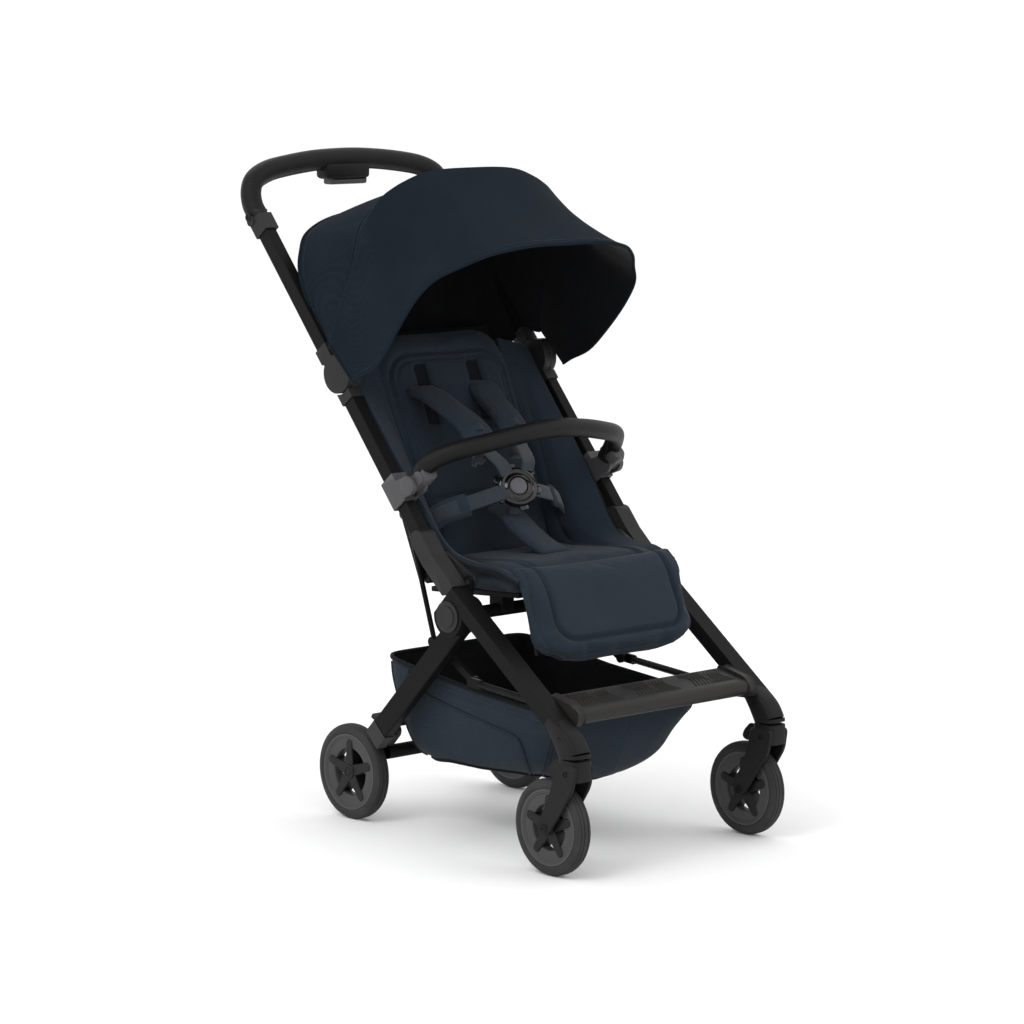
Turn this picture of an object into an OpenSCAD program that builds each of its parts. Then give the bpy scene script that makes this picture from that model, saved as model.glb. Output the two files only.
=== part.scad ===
// Compact folding baby stroller. Millimetres, +Z up, front faces -Y, mirror plane X = 0.
// Side-view points are [y, z] pairs; the origin is on the floor under the middle of the part.

/* [Frame] */
// Distance of the frame's side plane from the middle
side_x = 205; // [200:1:212]
// Width of the front legs across the stroller
leg_w = 30; // [24:1:30]
// Depth of the front legs seen from the side
leg_d = 22; // [18:1:24]
// Width of the seat and push tubes across the stroller
tube_w = 20; // [16:1:22]
// Depth of the seat and push tubes seen from the side
tube_d = 24; // [20:1:26]
// Wall of the frame tubes
wall = 2; // [1.5:0.5:3]
// Slope of the seat and push tubes above level
tube_slope = 50.2; // [48:0.2:52]

/* [Wheels] */
// Radius of the front wheels
front_r = 72.6; // [70:0.2:74]
// Radius of the rear wheels
rear_r = 75.5; // [74:0.5:77]
// Width of the tyres
tyre_w = 25; // [22:1:26]
// How far the front wheels trail behind their swivel axis
trail = 47; // [40:1:50]
// Spokes of each wheel
spokes = 5; // [3:1:7]

/* [Handle and bumper bar] */
// Diameter of the padded handle grip
grip_d = 33; // [28:1:36]
// Half width of the handle loop at its centre line
handle_x = 199; // [190:1:205]
// Height of the handle loop above its joint
handle_rise = 96; // [80:1:110]
// Diameter of the bumper bar
bumper_d = 31; // [28:1:34]

/* [Soft parts] */
// Radius of the canopy about its hinge
canopy_r = 345; // [320:1:350]
// Half width of the canopy
canopy_x = 226; // [215:1:232]
// Thickness of the canopy panels
cloth_t = 3; // [2:0.5:4]
// Half width of the seat and backrest
seat_x = 150; // [140:1:155]
// Thickness of the seat cushion
seat_pad_t = 36; // [28:1:40]
// Thickness of the backrest cushion
back_pad_t = 26; // [20:1:32]

/* [Hidden] */
$fn = 48;
gap = 0.3;
run = 0.05;
board_t = 8;

frame_black = "#1e1e1f";
fitting_grey = "#3c3a3b";
rim_grey = "#4a4a4a";
leather_black = "#2b2a29";
fabric_navy = "#222c36";
steel = "#9a9a9c";
tyre_black = "#161617";

// Pivots and landmarks in side view
low_hub = [-100, 360];
fold_pin = [-112, 411];
top_hub = [160, 706];
tube_mid = [168, 706];
tube_low = [-52, 441];
tube_top = [356, 931];
seam = [-101, 397];
knuckle = [-352, 209];
castor_y = -363;
castor_z = 181;
rear_axle = [178, rear_r];
front_axle = [castor_y + trail, front_r];
bumper_pin = [-8, 549];
bumper_mid = [-105, 630];
clamp_mid = [26, 536];
strut_pin = [30, 500];
rail_joint = [-88, 252];
rail_pin = [-290, 236];
handle_joint = [372, 938];
back_pin = [50, 392];
calf_pin = [-180, 418];
footrest = [-318, 240];
cross_tube = [118, 112];
brake_pin = [141, 150];
seat_front = [-172, 392];
seat_back = [26, 380];

// Directions
rear_slope = -45.7;
back_slope = 66.3;
calf_lean = 256;
handle_lean = 84;
seam_slope = 43.7;

// Planes across the stroller
leg_in = side_x - leg_w / 2;
leg_out = side_x + leg_w / 2;
rear_leg_in = 168;
rear_leg_out = 185;
rear_leg_d = 34;
rear_wheel_x = 171.5;
fork_t = 5;
fork_gap = tyre_w / 2 + 1.5;
fork_out = fork_gap + fork_t;
strut_x = 162;

function polar(p, angle, r) = [p[0] + r * cos(angle), p[1] + r * sin(angle)];
function mid(p, q, t = 0.5) = p + t * (q - p);
function bearing(p, q) = atan2(q[1] - p[1], q[0] - p[0]);

// Extrudes a side-view outline across X, from x0 to x1
module side(x0, x1) {
    translate([x0, 0, 0]) rotate([90, 0, 90]) linear_extrude(x1 - x0) children();
}

// Both the given side and its mirror image
module both() {
    children();
    mirror([1, 0, 0]) children();
}

// Flat bar in side view, from p to q, with square ends
module bar(p, q, w) {
    translate(p) rotate(bearing(p, q)) translate([0, -w / 2]) square([norm(q - p), w]);
}

// Flat bar with round ends, which are a hair wider than the bar so that their edges cross
module link(p, q, w) {
    bar(p, q, w - 0.02);
    translate(p) circle(d = w);
    translate(q) circle(d = w);
}

// Round rod or pin across X at a side-view point
module pin_x(p, x0, x1, r) {
    translate([x0, p[0], p[1]]) rotate([0, 90, 0]) cylinder(r = r, h = x1 - x0);
}

// Round rod between two points in space
module rod(a, b, r) {
    d = b - a;
    translate(a)
        rotate([0, acos(d[2] / norm(d)), atan2(d[1], d[0])])
            cylinder(r = r, h = norm(d));
}

// ---------------------------------------------------------------- front frame

// Half plane above the seam, in side view
module above_seam(shift) {
    translate(seam) rotate(seam_slope) translate([shift, -60]) square([120, 120]);
}

module leg_outline(inset) {
    top = mid(seam, knuckle, -0.1);
    difference() {
        union() {
            bar(top, knuckle, leg_d - 2 * inset);
            translate(low_hub) circle(r = 31 - inset);
            bar(low_hub, polar(low_hub, 130, 30), 50 - 2 * inset);
        }
        above_seam(-gap / 2);
    }
}

// Front leg: a closed box tube with the hub lug and the fold hinge's lug at its top
module front_leg() {
    color(frame_black) difference() {
        union() {
            side(leg_in, leg_out) leg_outline(0);
            side(leg_in - 4.5, leg_in + gap) link(fold_pin, polar(low_hub, 112, 26), 20);
        }
        side(leg_in + wall, leg_out - wall)
            bar(mid(seam, knuckle, 0.25), mid(seam, knuckle, 1.1), leg_d - 2 * wall);
        pin_x(low_hub, leg_in - 1, leg_out + 1, 5 + run);
        pin_x(low_hub, leg_in - 1, leg_in + 4, 12);
        pin_x(fold_pin, leg_in - 6, leg_in + 2, 4);
    }
}

// Lower fitting of the front leg, which holds the castor stem
module knuckle_fitting() {
    color(fitting_grey) difference() {
        union() {
            side(leg_in - 0.5, leg_out + 0.5) {
                bar(mid(seam, knuckle, 0.93), mid(seam, knuckle, 1.03), leg_d + 3);
                polygon([
                    [castor_y - 15, castor_z + 14], [castor_y - 12, castor_z + 34],
                    [castor_y + 12, castor_z + 50], [castor_y + 30, castor_z + 34],
                    [castor_y + 15, castor_z + 8]
                ]);
            }
            translate([side_x, castor_y, castor_z + 1]) cylinder(r = 14.2, h = 26);
        }
        side(leg_in - 0.1, leg_out + 0.1)
            bar(mid(seam, knuckle, 0.8), mid(seam, knuckle, 1.0), leg_d + 0.2);
        translate([side_x, castor_y, castor_z - 1]) cylinder(r = 6 + run, h = 24);
    }
}

// Footrest between the front legs: tilted plate with rows of ribs near its ends
module footrest_bar() {
    color("#2c2827") translate([0, footrest[0], footrest[1]]) rotate([-36, 0, 0]) {
        end = leg_in - gap;
        translate([-end, -17, -6]) cube([2 * end, 34, 12]);
        for (s = [-1, 1], i = [0:6])
            translate([s * (112 + 10 * i) - 1.5, -12, 5.5]) cube([3, 24, 1.5]);
        for (s = [-1, 1])
            translate([s * (end - 8) - 8, -19, -8]) cube([16, 38, 14.5]);
    }
    color("#2c2827") both() {
        side(strut_x + 6, strut_x + 10) link(rail_pin, footrest + [8, -4], 12);
        pin_x(rail_pin, strut_x - 5, strut_x + 7, 3);
    }
}

// Tube on the hub axis that the rear legs turn on
module hub_axle_tube() {
    color(frame_black) difference() {
        pin_x(low_hub, -leg_in - 3.5, leg_in + 3.5, 10);
        pin_x(low_hub, -leg_in + 40, leg_in - 40, 8);
        for (s = [-1, 1])
            pin_x(low_hub, s * (leg_in - 8) - 12, s * (leg_in - 8) + 12, 5);
    }
}

// Cap screws through the leg lugs into the hub axle tube, and the fold hinge's pins
module pivot_screws() {
    color(fitting_grey) both() {
        pin_x(fold_pin, leg_in - 13, leg_in + gap, 4);
        pin_x(low_hub, leg_in - 12, leg_out + 0.5, 5);
        pin_x(low_hub, leg_out + 0.1, leg_out + 2, 24);
        pin_x(low_hub, leg_out + 1.9, leg_out + 3.5, 16);
    }
}

// Board under the seat cushion, with saddles on the hub axle tube
module seat_board() {
    color(frame_black) difference() {
        union() {
            side(-seat_x + 8, seat_x - 8) bar(seat_front, seat_back, board_t);
            for (s = [-1, 1])
                side(s * 110 - 12, s * 110 + 12)
                    translate([low_hub[0] - 15, low_hub[1] - 2]) square([30, 30]);
        }
        pin_x(low_hub, -seat_x, seat_x, 10 + run);
    }
}

// A point part of the way along the seat board, at a height above it
function above_seat(t, height) =
    polar(mid(seat_front, seat_back, t), bearing(seat_front, seat_back) + 90, height);

module seat_pad() {
    height = (board_t + seat_pad_t) / 2 + gap;
    color(fabric_navy) side(-seat_x, seat_x)
        link(above_seat(0.1, height), above_seat(0.86, height), seat_pad_t);
}

// Cloth basket: an open tub that leans forward, between rim and floor outlines
module basket_form(inset, drop) {
    rim = [[-276 + inset, 214], [122 - inset, 262]];
    base = [[-196 + inset, 94 + drop], [58 - inset, 102 + drop]];
    hull() {
        for (s = [-1, 1]) {
            for (p = rim) translate([s * (146 - inset), p[0], p[1]])
                cylinder(r = 6, h = inset > 0 ? 12 : 3, $fn = 16);
            translate([s * (128 - inset), 92 - inset, 136 + drop]) sphere(r = 6, $fn = 16);
            for (p = base) translate([s * (112 - inset), p[0], p[1] + 6])
                sphere(r = 6, $fn = 16);
        }
    }
}

module basket() {
    color(fabric_navy) difference() {
        basket_form(0, 0);
        basket_form(4, 4);
    }
}

// -------------------------------------------------------------- castors, wheels

// Castor fork: a stem, a bridge over the tyre and two arms down to the axle
module castor_fork() {
    crown = [castor_y, castor_z - 17];
    color(fitting_grey) difference() {
        union() {
            translate([side_x, castor_y, castor_z - 20]) cylinder(r = 13, h = 19.6);
            translate([side_x, castor_y, castor_z - 2]) cylinder(r = 6, h = 20);
            side(side_x - fork_out, side_x + fork_out) polygon([
                crown + [-15, -13], crown + [-15, 7], crown + [14, 7],
                crown + [34, 1], crown + [34, -7], crown + [16, -13]
            ]);
            for (s = [-1, 1])
                side(side_x + s * (fork_gap + fork_out) / 2 - fork_t / 2,
                     side_x + s * (fork_gap + fork_out) / 2 + fork_t / 2)
                    link(crown, front_axle, 26);
        }
        pin_x(front_axle, side_x - fork_out - 1, side_x + fork_out + 1, 4);
    }
}

module front_axle_bolt() {
    color(steel) difference() {
        union() {
            pin_x(front_axle, side_x - fork_out, side_x + fork_out + 1, 4);
            pin_x(front_axle, side_x + fork_out, side_x + fork_out + 2, 7);
        }
        pin_x(front_axle, side_x + fork_out, side_x + fork_out + 3, 3, $fn = 6);
    }
}

// Tyre ring about the X axis through the origin
module tyre_ring(r, w) {
    rotate([0, 90, 0]) rotate_extrude($fn = 96) difference() {
        union() {
            translate([r - 15, -w / 2 + 1]) square([11, w - 2]);
            translate([r - 9, -w / 2]) square([4, w]);
            translate([r - 7, -w / 2 + 4]) square([7, w - 8]);
            for (s = [-1, 1]) translate([r - 4.5, s * (w / 2 - 4.5)]) circle(r = 4.5);
        }
        for (g = [-1:1]) translate([r - 1, g * 4.5 - 0.6]) square([2, 1.2]);
    }
}

// Rim with an outer ring, a five-spoke star and a hub with a bore
module rim_star(r, w, bore) {
    rotate([0, 90, 0]) difference() {
        union() {
            rotate_extrude($fn = 96) translate([r - 31, -w / 2 + 2.5]) square([16, w - 5]);
            cylinder(r = 15, h = w - 3, center = true);
            for (i = [0:spokes - 1])
                rotate(i * 360 / spokes + 90) {
                    translate([8, -6, -w / 2 + 3]) cube([r - 34, 12, w - 6]);
                    translate([r - 25, 0, 0]) cylinder(r = 6, h = w - 2.5, center = true);
                }
        }
        cylinder(r = bore, h = w + 2, center = true);
    }
}

module front_wheel_place() {
    translate([side_x, front_axle[0], front_axle[1]]) children();
}

module rear_wheel_place() {
    translate([rear_wheel_x, rear_axle[0], rear_axle[1]]) children();
}

module front_tyre() { color(tyre_black) front_wheel_place() tyre_ring(front_r, tyre_w); }
module front_rim() { color(rim_grey) front_wheel_place() rim_star(front_r, tyre_w, 4 + run); }
module rear_tyre() { color(tyre_black) rear_wheel_place() tyre_ring(rear_r, tyre_w); }
module rear_rim() { color(rim_grey) rear_wheel_place() rim_star(rear_r, tyre_w, 5 + run); }

// ------------------------------------------------------------------ rear frame

foot_start = polar(low_hub, rear_slope, 286);
foot_end = polar(low_hub, rear_slope, 314);

module rear_leg() {
    color(frame_black) difference() {
        side(rear_leg_in, rear_leg_out) {
            bar(low_hub, foot_start, rear_leg_d);
            translate(low_hub) circle(r = 27);
        }
        side(rear_leg_in + wall, rear_leg_out - wall)
            bar(polar(low_hub, rear_slope, 60), polar(low_hub, rear_slope, 300), rear_leg_d - 2 * wall);
        pin_x(low_hub, rear_leg_in - 1, rear_leg_out + 1, 10 + run);
    }
}

// Foot of the rear leg, with the stub axle on a plate inside the wheel
module rear_foot() {
    color(fitting_grey) {
        side(rear_leg_in - 1, rear_leg_out + 0.3)
            bar(foot_start + polar([0, 0], rear_slope, 0.2), foot_end, rear_leg_d + 2);
        side(145, 156) difference() {
            union() {
                link(polar(low_hub, rear_slope, 296), rear_axle, 26);
                link(mid(foot_start, foot_end), brake_pin, 18);
            }
            translate(cross_tube) circle(r = 11);
            translate(brake_pin) circle(r = 3.5 + run);
        }
        side(155, rear_leg_in) bar(foot_start + polar([0, 0], rear_slope, 4), foot_end, 26);
        pin_x(rear_axle, 155.5, 183.5, 5);
        pin_x(rear_axle, 155.5, 158.5, 12);
    }
}

module rear_cross_tube() {
    color(frame_black) difference() {
        pin_x(cross_tube, -156, 156, 11);
        pin_x(cross_tube, -157, 157, 9);
    }
}

// Brake bar between the rear feet, with a pedal in the middle
module brake_pedal() {
    color(fitting_grey) {
        pin_x(brake_pin, -155.9, 155.9, 3.5);
        pin_x(brake_pin, -144, 144, 6);
        side(-144, -124) bar(brake_pin, brake_pin + [26, 12], 7);
        side(124, 144) bar(brake_pin, brake_pin + [26, 12], 7);
        side(-34, 34) bar(brake_pin, brake_pin + [34, 16], 6);
    }
}

// ------------------------------------------------------------------ seat frame

module tube_run(p, q, x_mid) {
    difference() {
        side(x_mid - tube_w / 2, x_mid + tube_w / 2) bar(p, q, tube_d);
        side(x_mid - tube_w / 2 + wall, x_mid + tube_w / 2 - wall)
            bar(mid(p, q, -0.1), mid(p, q, 1.1), tube_d - 2 * wall);
    }
}

tube_hub_end = polar(tube_mid, tube_slope, -38);
tube_hub_start = polar(tube_mid, tube_slope, 33);

module seat_tube() { color(frame_black) tube_run(tube_low, tube_hub_end, side_x); }

// Bend fitting between the seat tube and the front leg's seam, with the fold hinge's ear
module bend_fitting() {
    color(fitting_grey) difference() {
        union() {
            side(leg_in + 0.5, leg_out - 0.5) difference() {
                union() {
                    link(mid(tube_low, tube_hub_end, 0.12), tube_low, tube_d + 4);
                    link(tube_low, seam, tube_d + 4);
                }
                translate(seam) rotate(seam_slope)
                    translate([-120 + gap / 2, -60]) square([120, 120]);
                translate(low_hub) circle(r = 33);
            }
            side(leg_in - 11, leg_in - 5) link(fold_pin, tube_low, 18);
            side(leg_in - 5.5, leg_in + 1) translate(tube_low) circle(r = 8);
        }
        side(side_x - tube_w / 2 - 0.1, side_x + tube_w / 2 + 0.1)
            bar(tube_low, tube_hub_end, tube_d + 0.2);
        pin_x(fold_pin, leg_in - 12, leg_in - 4, 4 + run);
    }
}

// Bumper bar clamps round the seat tubes, with the pivot studs and strut ears
module bumper_clamps() {
    color("#4f4d50") both() difference() {
        union() {
            side(side_x - 14, side_x + 14) {
                bar(polar(clamp_mid, tube_slope, -24), polar(clamp_mid, tube_slope, 24), 32);
                link(clamp_mid, bumper_pin, 30);
            }
            side(side_x - 14, side_x - 9) link(clamp_mid, strut_pin, 16);
        }
        side(side_x - tube_w / 2 - 0.1, side_x + tube_w / 2 + 0.1)
            bar(mid(tube_low, tube_hub_end, 0), tube_hub_end, tube_d + 0.2);
        side(side_x - 8, side_x + 8) translate(bumper_pin) circle(r = 17);
        pin_x(bumper_pin, side_x - 15, side_x + 15, 5);
    }
}

// Inner halves of the canopy and handle hubs, on the tops of the seat tubes
module upper_hubs() {
    color(fitting_grey) both() difference() {
        union() {
            side(side_x - 12, side_x) translate(top_hub) circle(r = 30);
            side(side_x - 12, side_x + 12) difference() {
                bar(polar(tube_mid, tube_slope, -52), polar(tube_mid, tube_slope, -26), tube_d + 4);
                translate(top_hub) circle(r = 32);
            }
            side(side_x - 12, side_x - gap) bar(polar(tube_mid, tube_slope, -40), top_hub, tube_d);
        }
        side(side_x - tube_w / 2 - 0.1, side_x + tube_w / 2 + 0.1)
            bar(tube_low, tube_hub_end, tube_d + 0.2);
        pin_x(top_hub, side_x - 20, side_x + 20, 6 + run);
    }
}

// --------------------------------------------------------------------- handle

module push_tube() { color(frame_black) tube_run(tube_hub_start, tube_top, side_x); }

// Outer halves of the hubs, which carry the push tubes and the hub pins
module hub_caps() {
    color(fitting_grey) both() {
        difference() {
            union() {
                side(side_x + gap, side_x + 13) translate(top_hub) circle(r = 30);
                side(side_x - 12, side_x + 12) difference() {
                    bar(polar(tube_mid, tube_slope, 26), polar(tube_mid, tube_slope, 50), tube_d + 4);
                    translate(top_hub) circle(r = 32);
                }
                side(side_x + gap, side_x + 12) bar(top_hub, polar(tube_mid, tube_slope, 40), tube_d);
            }
            side(side_x - tube_w / 2 - 0.1, side_x + tube_w / 2 + 0.1)
                bar(tube_hub_start, tube_top, tube_d + 0.2);
        }
        pin_x(top_hub, side_x - 12, side_x + 1, 6);
    }
}

// Places the handle loop's own plane: X across, Y up the loop
module handle_plane() {
    translate([0, handle_joint[0], handle_joint[1]]) rotate([handle_lean, 0, 0]) children();
}

corner_r = 68;
grip_from = 12;

// Swept section of the handle loop: sides, round corners and top bar
module handle_loop(r, from) {
    top = handle_rise - 15;
    both() {
        translate([handle_x, from, 0]) rotate([-90, 0, 0]) cylinder(r = r, h = top - corner_r - from);
        translate([handle_x - corner_r, top - corner_r, 0])
            rotate_extrude(angle = 90) translate([corner_r, 0]) circle(r = r);
    }
    translate([-handle_x + corner_r, top, 0]) rotate([0, 90, 0])
        cylinder(r = r, h = 2 * (handle_x - corner_r));
}

module handle_core() { color(frame_black) handle_plane() handle_loop(11, -8); }

module handle_grip() {
    color(leather_black) handle_plane() difference() {
        handle_loop(grip_d / 2, grip_from);
        handle_loop(11, -9);
    }
}

// Collars that join the push tubes to the handle loop
module handle_collars() {
    color(fitting_grey) both() difference() {
        union() {
            side(side_x - 14, side_x + 12)
                bar(polar(tube_top, tube_slope, -22), polar(tube_top, tube_slope, 8), 30);
            handle_plane() translate([handle_x, -12, 0]) rotate([-90, 0, 0]) cylinder(r = 15, h = grip_from + 12);
            pin_x(handle_joint - [4, 6], side_x, side_x + 14, 8);
        }
        side(side_x - tube_w / 2 - 0.1, side_x + tube_w / 2 + 0.1)
            bar(tube_hub_start, tube_top, tube_d + 0.2);
        handle_plane() translate([handle_x, -8, 0]) rotate([-90, 0, 0]) cylinder(r = 11, h = 40);
    }
}

// Housing under the middle of the handle, with its lever and side slider
trigger_at = handle_rise - 15 - grip_d / 2;

module trigger_housing() {
    color(fitting_grey) handle_plane() difference() {
        translate([-44, trigger_at - 15, -12]) cube([88, 22, 24]);
        handle_loop(grip_d / 2, grip_from);
        translate([-33, trigger_at - 16, -9]) cube([66, 12, 18]);
        translate([36, trigger_at - 12, -5]) cube([9, 6, 10]);
    }
}

module trigger_lever() {
    color("#77777a") handle_plane() translate([-32.5, trigger_at - 19, -8.5]) cube([65, 10, 17]);
}

module fold_slider() {
    color("#77777a") handle_plane() translate([38, trigger_at - 11.5, -4.5]) cube([10, 5, 9]);
}

// ----------------------------------------------------------------- bumper bar

bumper_lean = bearing(bumper_pin, bumper_mid);
bumper_reach = round(norm(bumper_mid - bumper_pin));
bumper_r = 62;

// Places the bumper bar's own plane: X across, Y from the pins to the bar
module bumper_plane() {
    translate([0, bumper_pin[0], bumper_pin[1]]) rotate([bumper_lean, 0, 0]) children();
}

module bumper_bar() {
    color(leather_black) bumper_plane() {
        both() {
            translate([side_x - 8, 34, 0]) rotate([-90, 0, 0])
                cylinder(r = bumper_d / 2 - 1, h = bumper_reach - bumper_r - 34);
            translate([side_x - 8 - bumper_r, bumper_reach - bumper_r, 0])
                rotate_extrude(angle = 90) translate([bumper_r, 0]) circle(d = bumper_d - 2);
        }
        translate([-side_x + 8 + bumper_r, bumper_reach, 0]) rotate([0, 90, 0])
            cylinder(d = bumper_d - 2, h = 2 * (side_x - 8 - bumper_r));
    }
}

module bumper_collars() {
    color(fitting_grey) both() {
        side(side_x - 7.5, side_x + 7.5) link(bumper_pin, polar(bumper_pin, bumper_lean, 20), 20);
        bumper_plane() translate([side_x - 8, 16, 0]) rotate([-90, 0, 0]) cylinder(r = 13, h = 18);
        pin_x(bumper_pin, side_x - 14, side_x + 14, 5 - run);
    }
}

// ------------------------------------------------------------ basket suspension

// Struts from the clamps down to the rail joints
module struts() {
    knee = [3, 302];
    top_x = side_x - 19;
    low_x = strut_x - 6.5;
    color(frame_black) both() {
        pin_x(strut_pin, top_x - 6, top_x + 4.7, 7);
        rod([top_x, strut_pin[0], strut_pin[1]], [low_x, knee[0], knee[1]], 4);
        pin_x(knee, low_x - 4.8, low_x + 7, 8);
        side(low_x - 4.5, low_x + 3) link(knee, rail_joint, 11);
        pin_x(rail_joint, low_x - 4.8, low_x + 3.9, 8);
    }
}

// Rails along the basket's rim, from the footrest back to the strut joints
module rim_rails() {
    rod_start = mid(rail_joint, rail_pin, 0.1);
    color(frame_black) both() {
        difference() {
            union() {
                side(strut_x - 2, strut_x + 2.5) link(rail_joint, rod_start, 15);
                rod([strut_x, rod_start[0], rod_start[1]], [strut_x, rail_pin[0], rail_pin[1]], 5.5);
                pin_x(rail_pin, strut_x - 6, strut_x + 5.6, 8);
            }
            pin_x(rail_pin, strut_x - 7, strut_x + 7, 3 + run);
        }
    }
}

// --------------------------------------------------------------------- canopy

// Half section of the canopy in the plane through its hinge: a squarish dome
function dome(r, a, t) =
    [r * pow(abs(sin(t)), 0.8), (t < 90 ? 1 : -1) * a * pow(abs(cos(t)), 0.8)];

module dome_section(r, a) {
    steps = 24;
    t_low = 6;
    span = [for (i = [0:steps]) t_low + i * (180 - 2 * t_low) / steps];
    outer = [for (t = span) dome(r, a, t)];
    inner = [for (t = span) dome(r - cloth_t, a - cloth_t, t)];
    polygon(concat(outer, [for (i = [steps:-1:0]) inner[i]]));
}

// One canopy panel between two angles above level, measured at the hub
module canopy_panel(r, a, from, to) {
    translate([0, top_hub[0], top_hub[1]]) rotate([from, 0, 0]) rotate([0, 90, 0]) rotate([0, 0, 90])
        rotate_extrude(angle = to - from, $fn = 90) dome_section(r, a);
}

module canopy_rear_panel() { color(fabric_navy) canopy_panel(canopy_r - 52, canopy_x - 12.5, 67, 94); }
module canopy_mid_panel() { color(fabric_navy) canopy_panel(canopy_r - 30, canopy_x - 8, 90, 120); }
module canopy_front_panel() { color(fabric_navy) canopy_panel(canopy_r, canopy_x, 116, 146); }

// Stiff front bow behind the canopy's front edge
module canopy_front_bow() {
    color(frame_black) canopy_panel(canopy_r - 3.5, canopy_x - 3.5, 143, 144.5);
}

// ------------------------------------------------------------ backrest, calf rest

// Places a frame on the backrest: Y up the board, Z out of its front
module back_plane() {
    translate([0, back_pin[0], back_pin[1]]) rotate([back_slope, 0, 0]) children();
}

module backrest_board() {
    color(frame_black) back_plane() {
        translate([-seat_x + 10, 0, -8]) cube([2 * seat_x - 20, 400, 8]);
        rotate([0, 90, 0]) cylinder(r = 8, h = 2 * seat_x - 40, center = true);
    }
}

module backrest_pad() {
    color(fabric_navy) back_plane() {
        translate([-seat_x, 20, gap]) cube([2 * seat_x, 366, back_pad_t - gap]);
        for (y = [20, 386])
            translate([-seat_x, y, (back_pad_t + gap) / 2]) rotate([0, 90, 0])
                cylinder(r = (back_pad_t - gap) / 2, h = 2 * seat_x);
    }
}

module shoulder_pads() {
    color(fabric_navy) both() back_plane() hull()
        for (y = [150, 270], z = [back_pad_t + 6, back_pad_t + 14], x = [42, 68])
            translate([x, y, z]) sphere(r = 5, $fn = 16);
}

// Places a frame on the calf rest: Y from its hinge to its free end, Z out of its front
module calf_plane() {
    translate([0, calf_pin[0], calf_pin[1]]) rotate([calf_lean, 0, 0]) children();
}

module calf_board() {
    color(frame_black) calf_plane() translate([-seat_x + 16, 4, 2]) cube([2 * seat_x - 32, 112, 6]);
}

module calf_pad() {
    color(fabric_navy) calf_plane() hull()
        for (sx = [-1, 1], y = [6, 122], z = [-20, -5])
            translate([sx * (seat_x + 2), y, z]) sphere(r = 6, $fn = 16);
}

// ---------------------------------------------------------------------- harness

buckle_at = [-14, 528];

module buckle_place() {
    translate([0, buckle_at[0], buckle_at[1]]) rotate([62, 0, 0]) children();
}

module buckle() {
    color(leather_black) buckle_place() difference() {
        cylinder(r = 27, h = 14);
        translate([0, 0, 6]) cylinder(r = 13.3, h = 9);
    }
}

module buckle_button() {
    color(rim_grey) buckle_place() translate([0, 0, 9.5]) cylinder(r = 13, h = 5.5);
}

module waist_pads() {
    color(fabric_navy) both() hull() {
        translate([40, 2, 516]) sphere(r = 8, $fn = 16);
        translate([44, 8, 488]) sphere(r = 8, $fn = 16);
        translate([128, 30, 510]) sphere(r = 7, $fn = 16);
        translate([128, 34, 486]) sphere(r = 7, $fn = 16);
    }
}

module crotch_pad() {
    color(fabric_navy) hull() {
        for (s = [-1, 1]) {
            translate([s * 18, 0, 488]) sphere(r = 8, $fn = 16);
            translate([s * 22, -70, 447]) sphere(r = 8, $fn = 16);
        }
    }
}

// ---------------------------------------------------------------- the right side is -X

module left() { children(); }
module right() { mirror([1, 0, 0]) children(); }

right() front_leg();  // front_leg_right
left() front_leg();  // front_leg_left
right() knuckle_fitting();  // knuckle_right
left() knuckle_fitting();  // knuckle_left
footrest_bar();
hub_axle_tube();
seat_board();
seat_pad();
basket();
pivot_screws();
right() castor_fork();  // castor_fork_right
left() castor_fork();  // castor_fork_left
right() front_axle_bolt();  // front_axle_right
left() front_axle_bolt();  // front_axle_left
right() front_tyre();  // front_tyre_right
left() front_tyre();  // front_tyre_left
right() front_rim();  // front_rim_right
left() front_rim();  // front_rim_left
right() rear_tyre();  // rear_tyre_right
left() rear_tyre();  // rear_tyre_left
right() rear_rim();  // rear_rim_right
left() rear_rim();  // rear_rim_left
right() rear_leg();  // rear_leg_right
left() rear_leg();  // rear_leg_left
right() rear_foot();  // rear_foot_right
left() rear_foot();  // rear_foot_left
rear_cross_tube();
brake_pedal();
right() seat_tube();  // seat_tube_right
left() seat_tube();  // seat_tube_left
right() bend_fitting();  // bend_fitting_right
left() bend_fitting();  // bend_fitting_left
bumper_clamps();
upper_hubs();
canopy_rear_panel();
buckle();
waist_pads();
crotch_pad();
right() push_tube();  // push_tube_right
left() push_tube();  // push_tube_left
hub_caps();
handle_core();
handle_grip();
handle_collars();
trigger_housing();
trigger_lever();
fold_slider();
bumper_bar();
bumper_collars();
struts();
rim_rails();
canopy_mid_panel();
canopy_front_panel();
canopy_front_bow();
backrest_board();
backrest_pad();
shoulder_pads();
calf_board();
calf_pad();
buckle_button();
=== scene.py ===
import math

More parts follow.
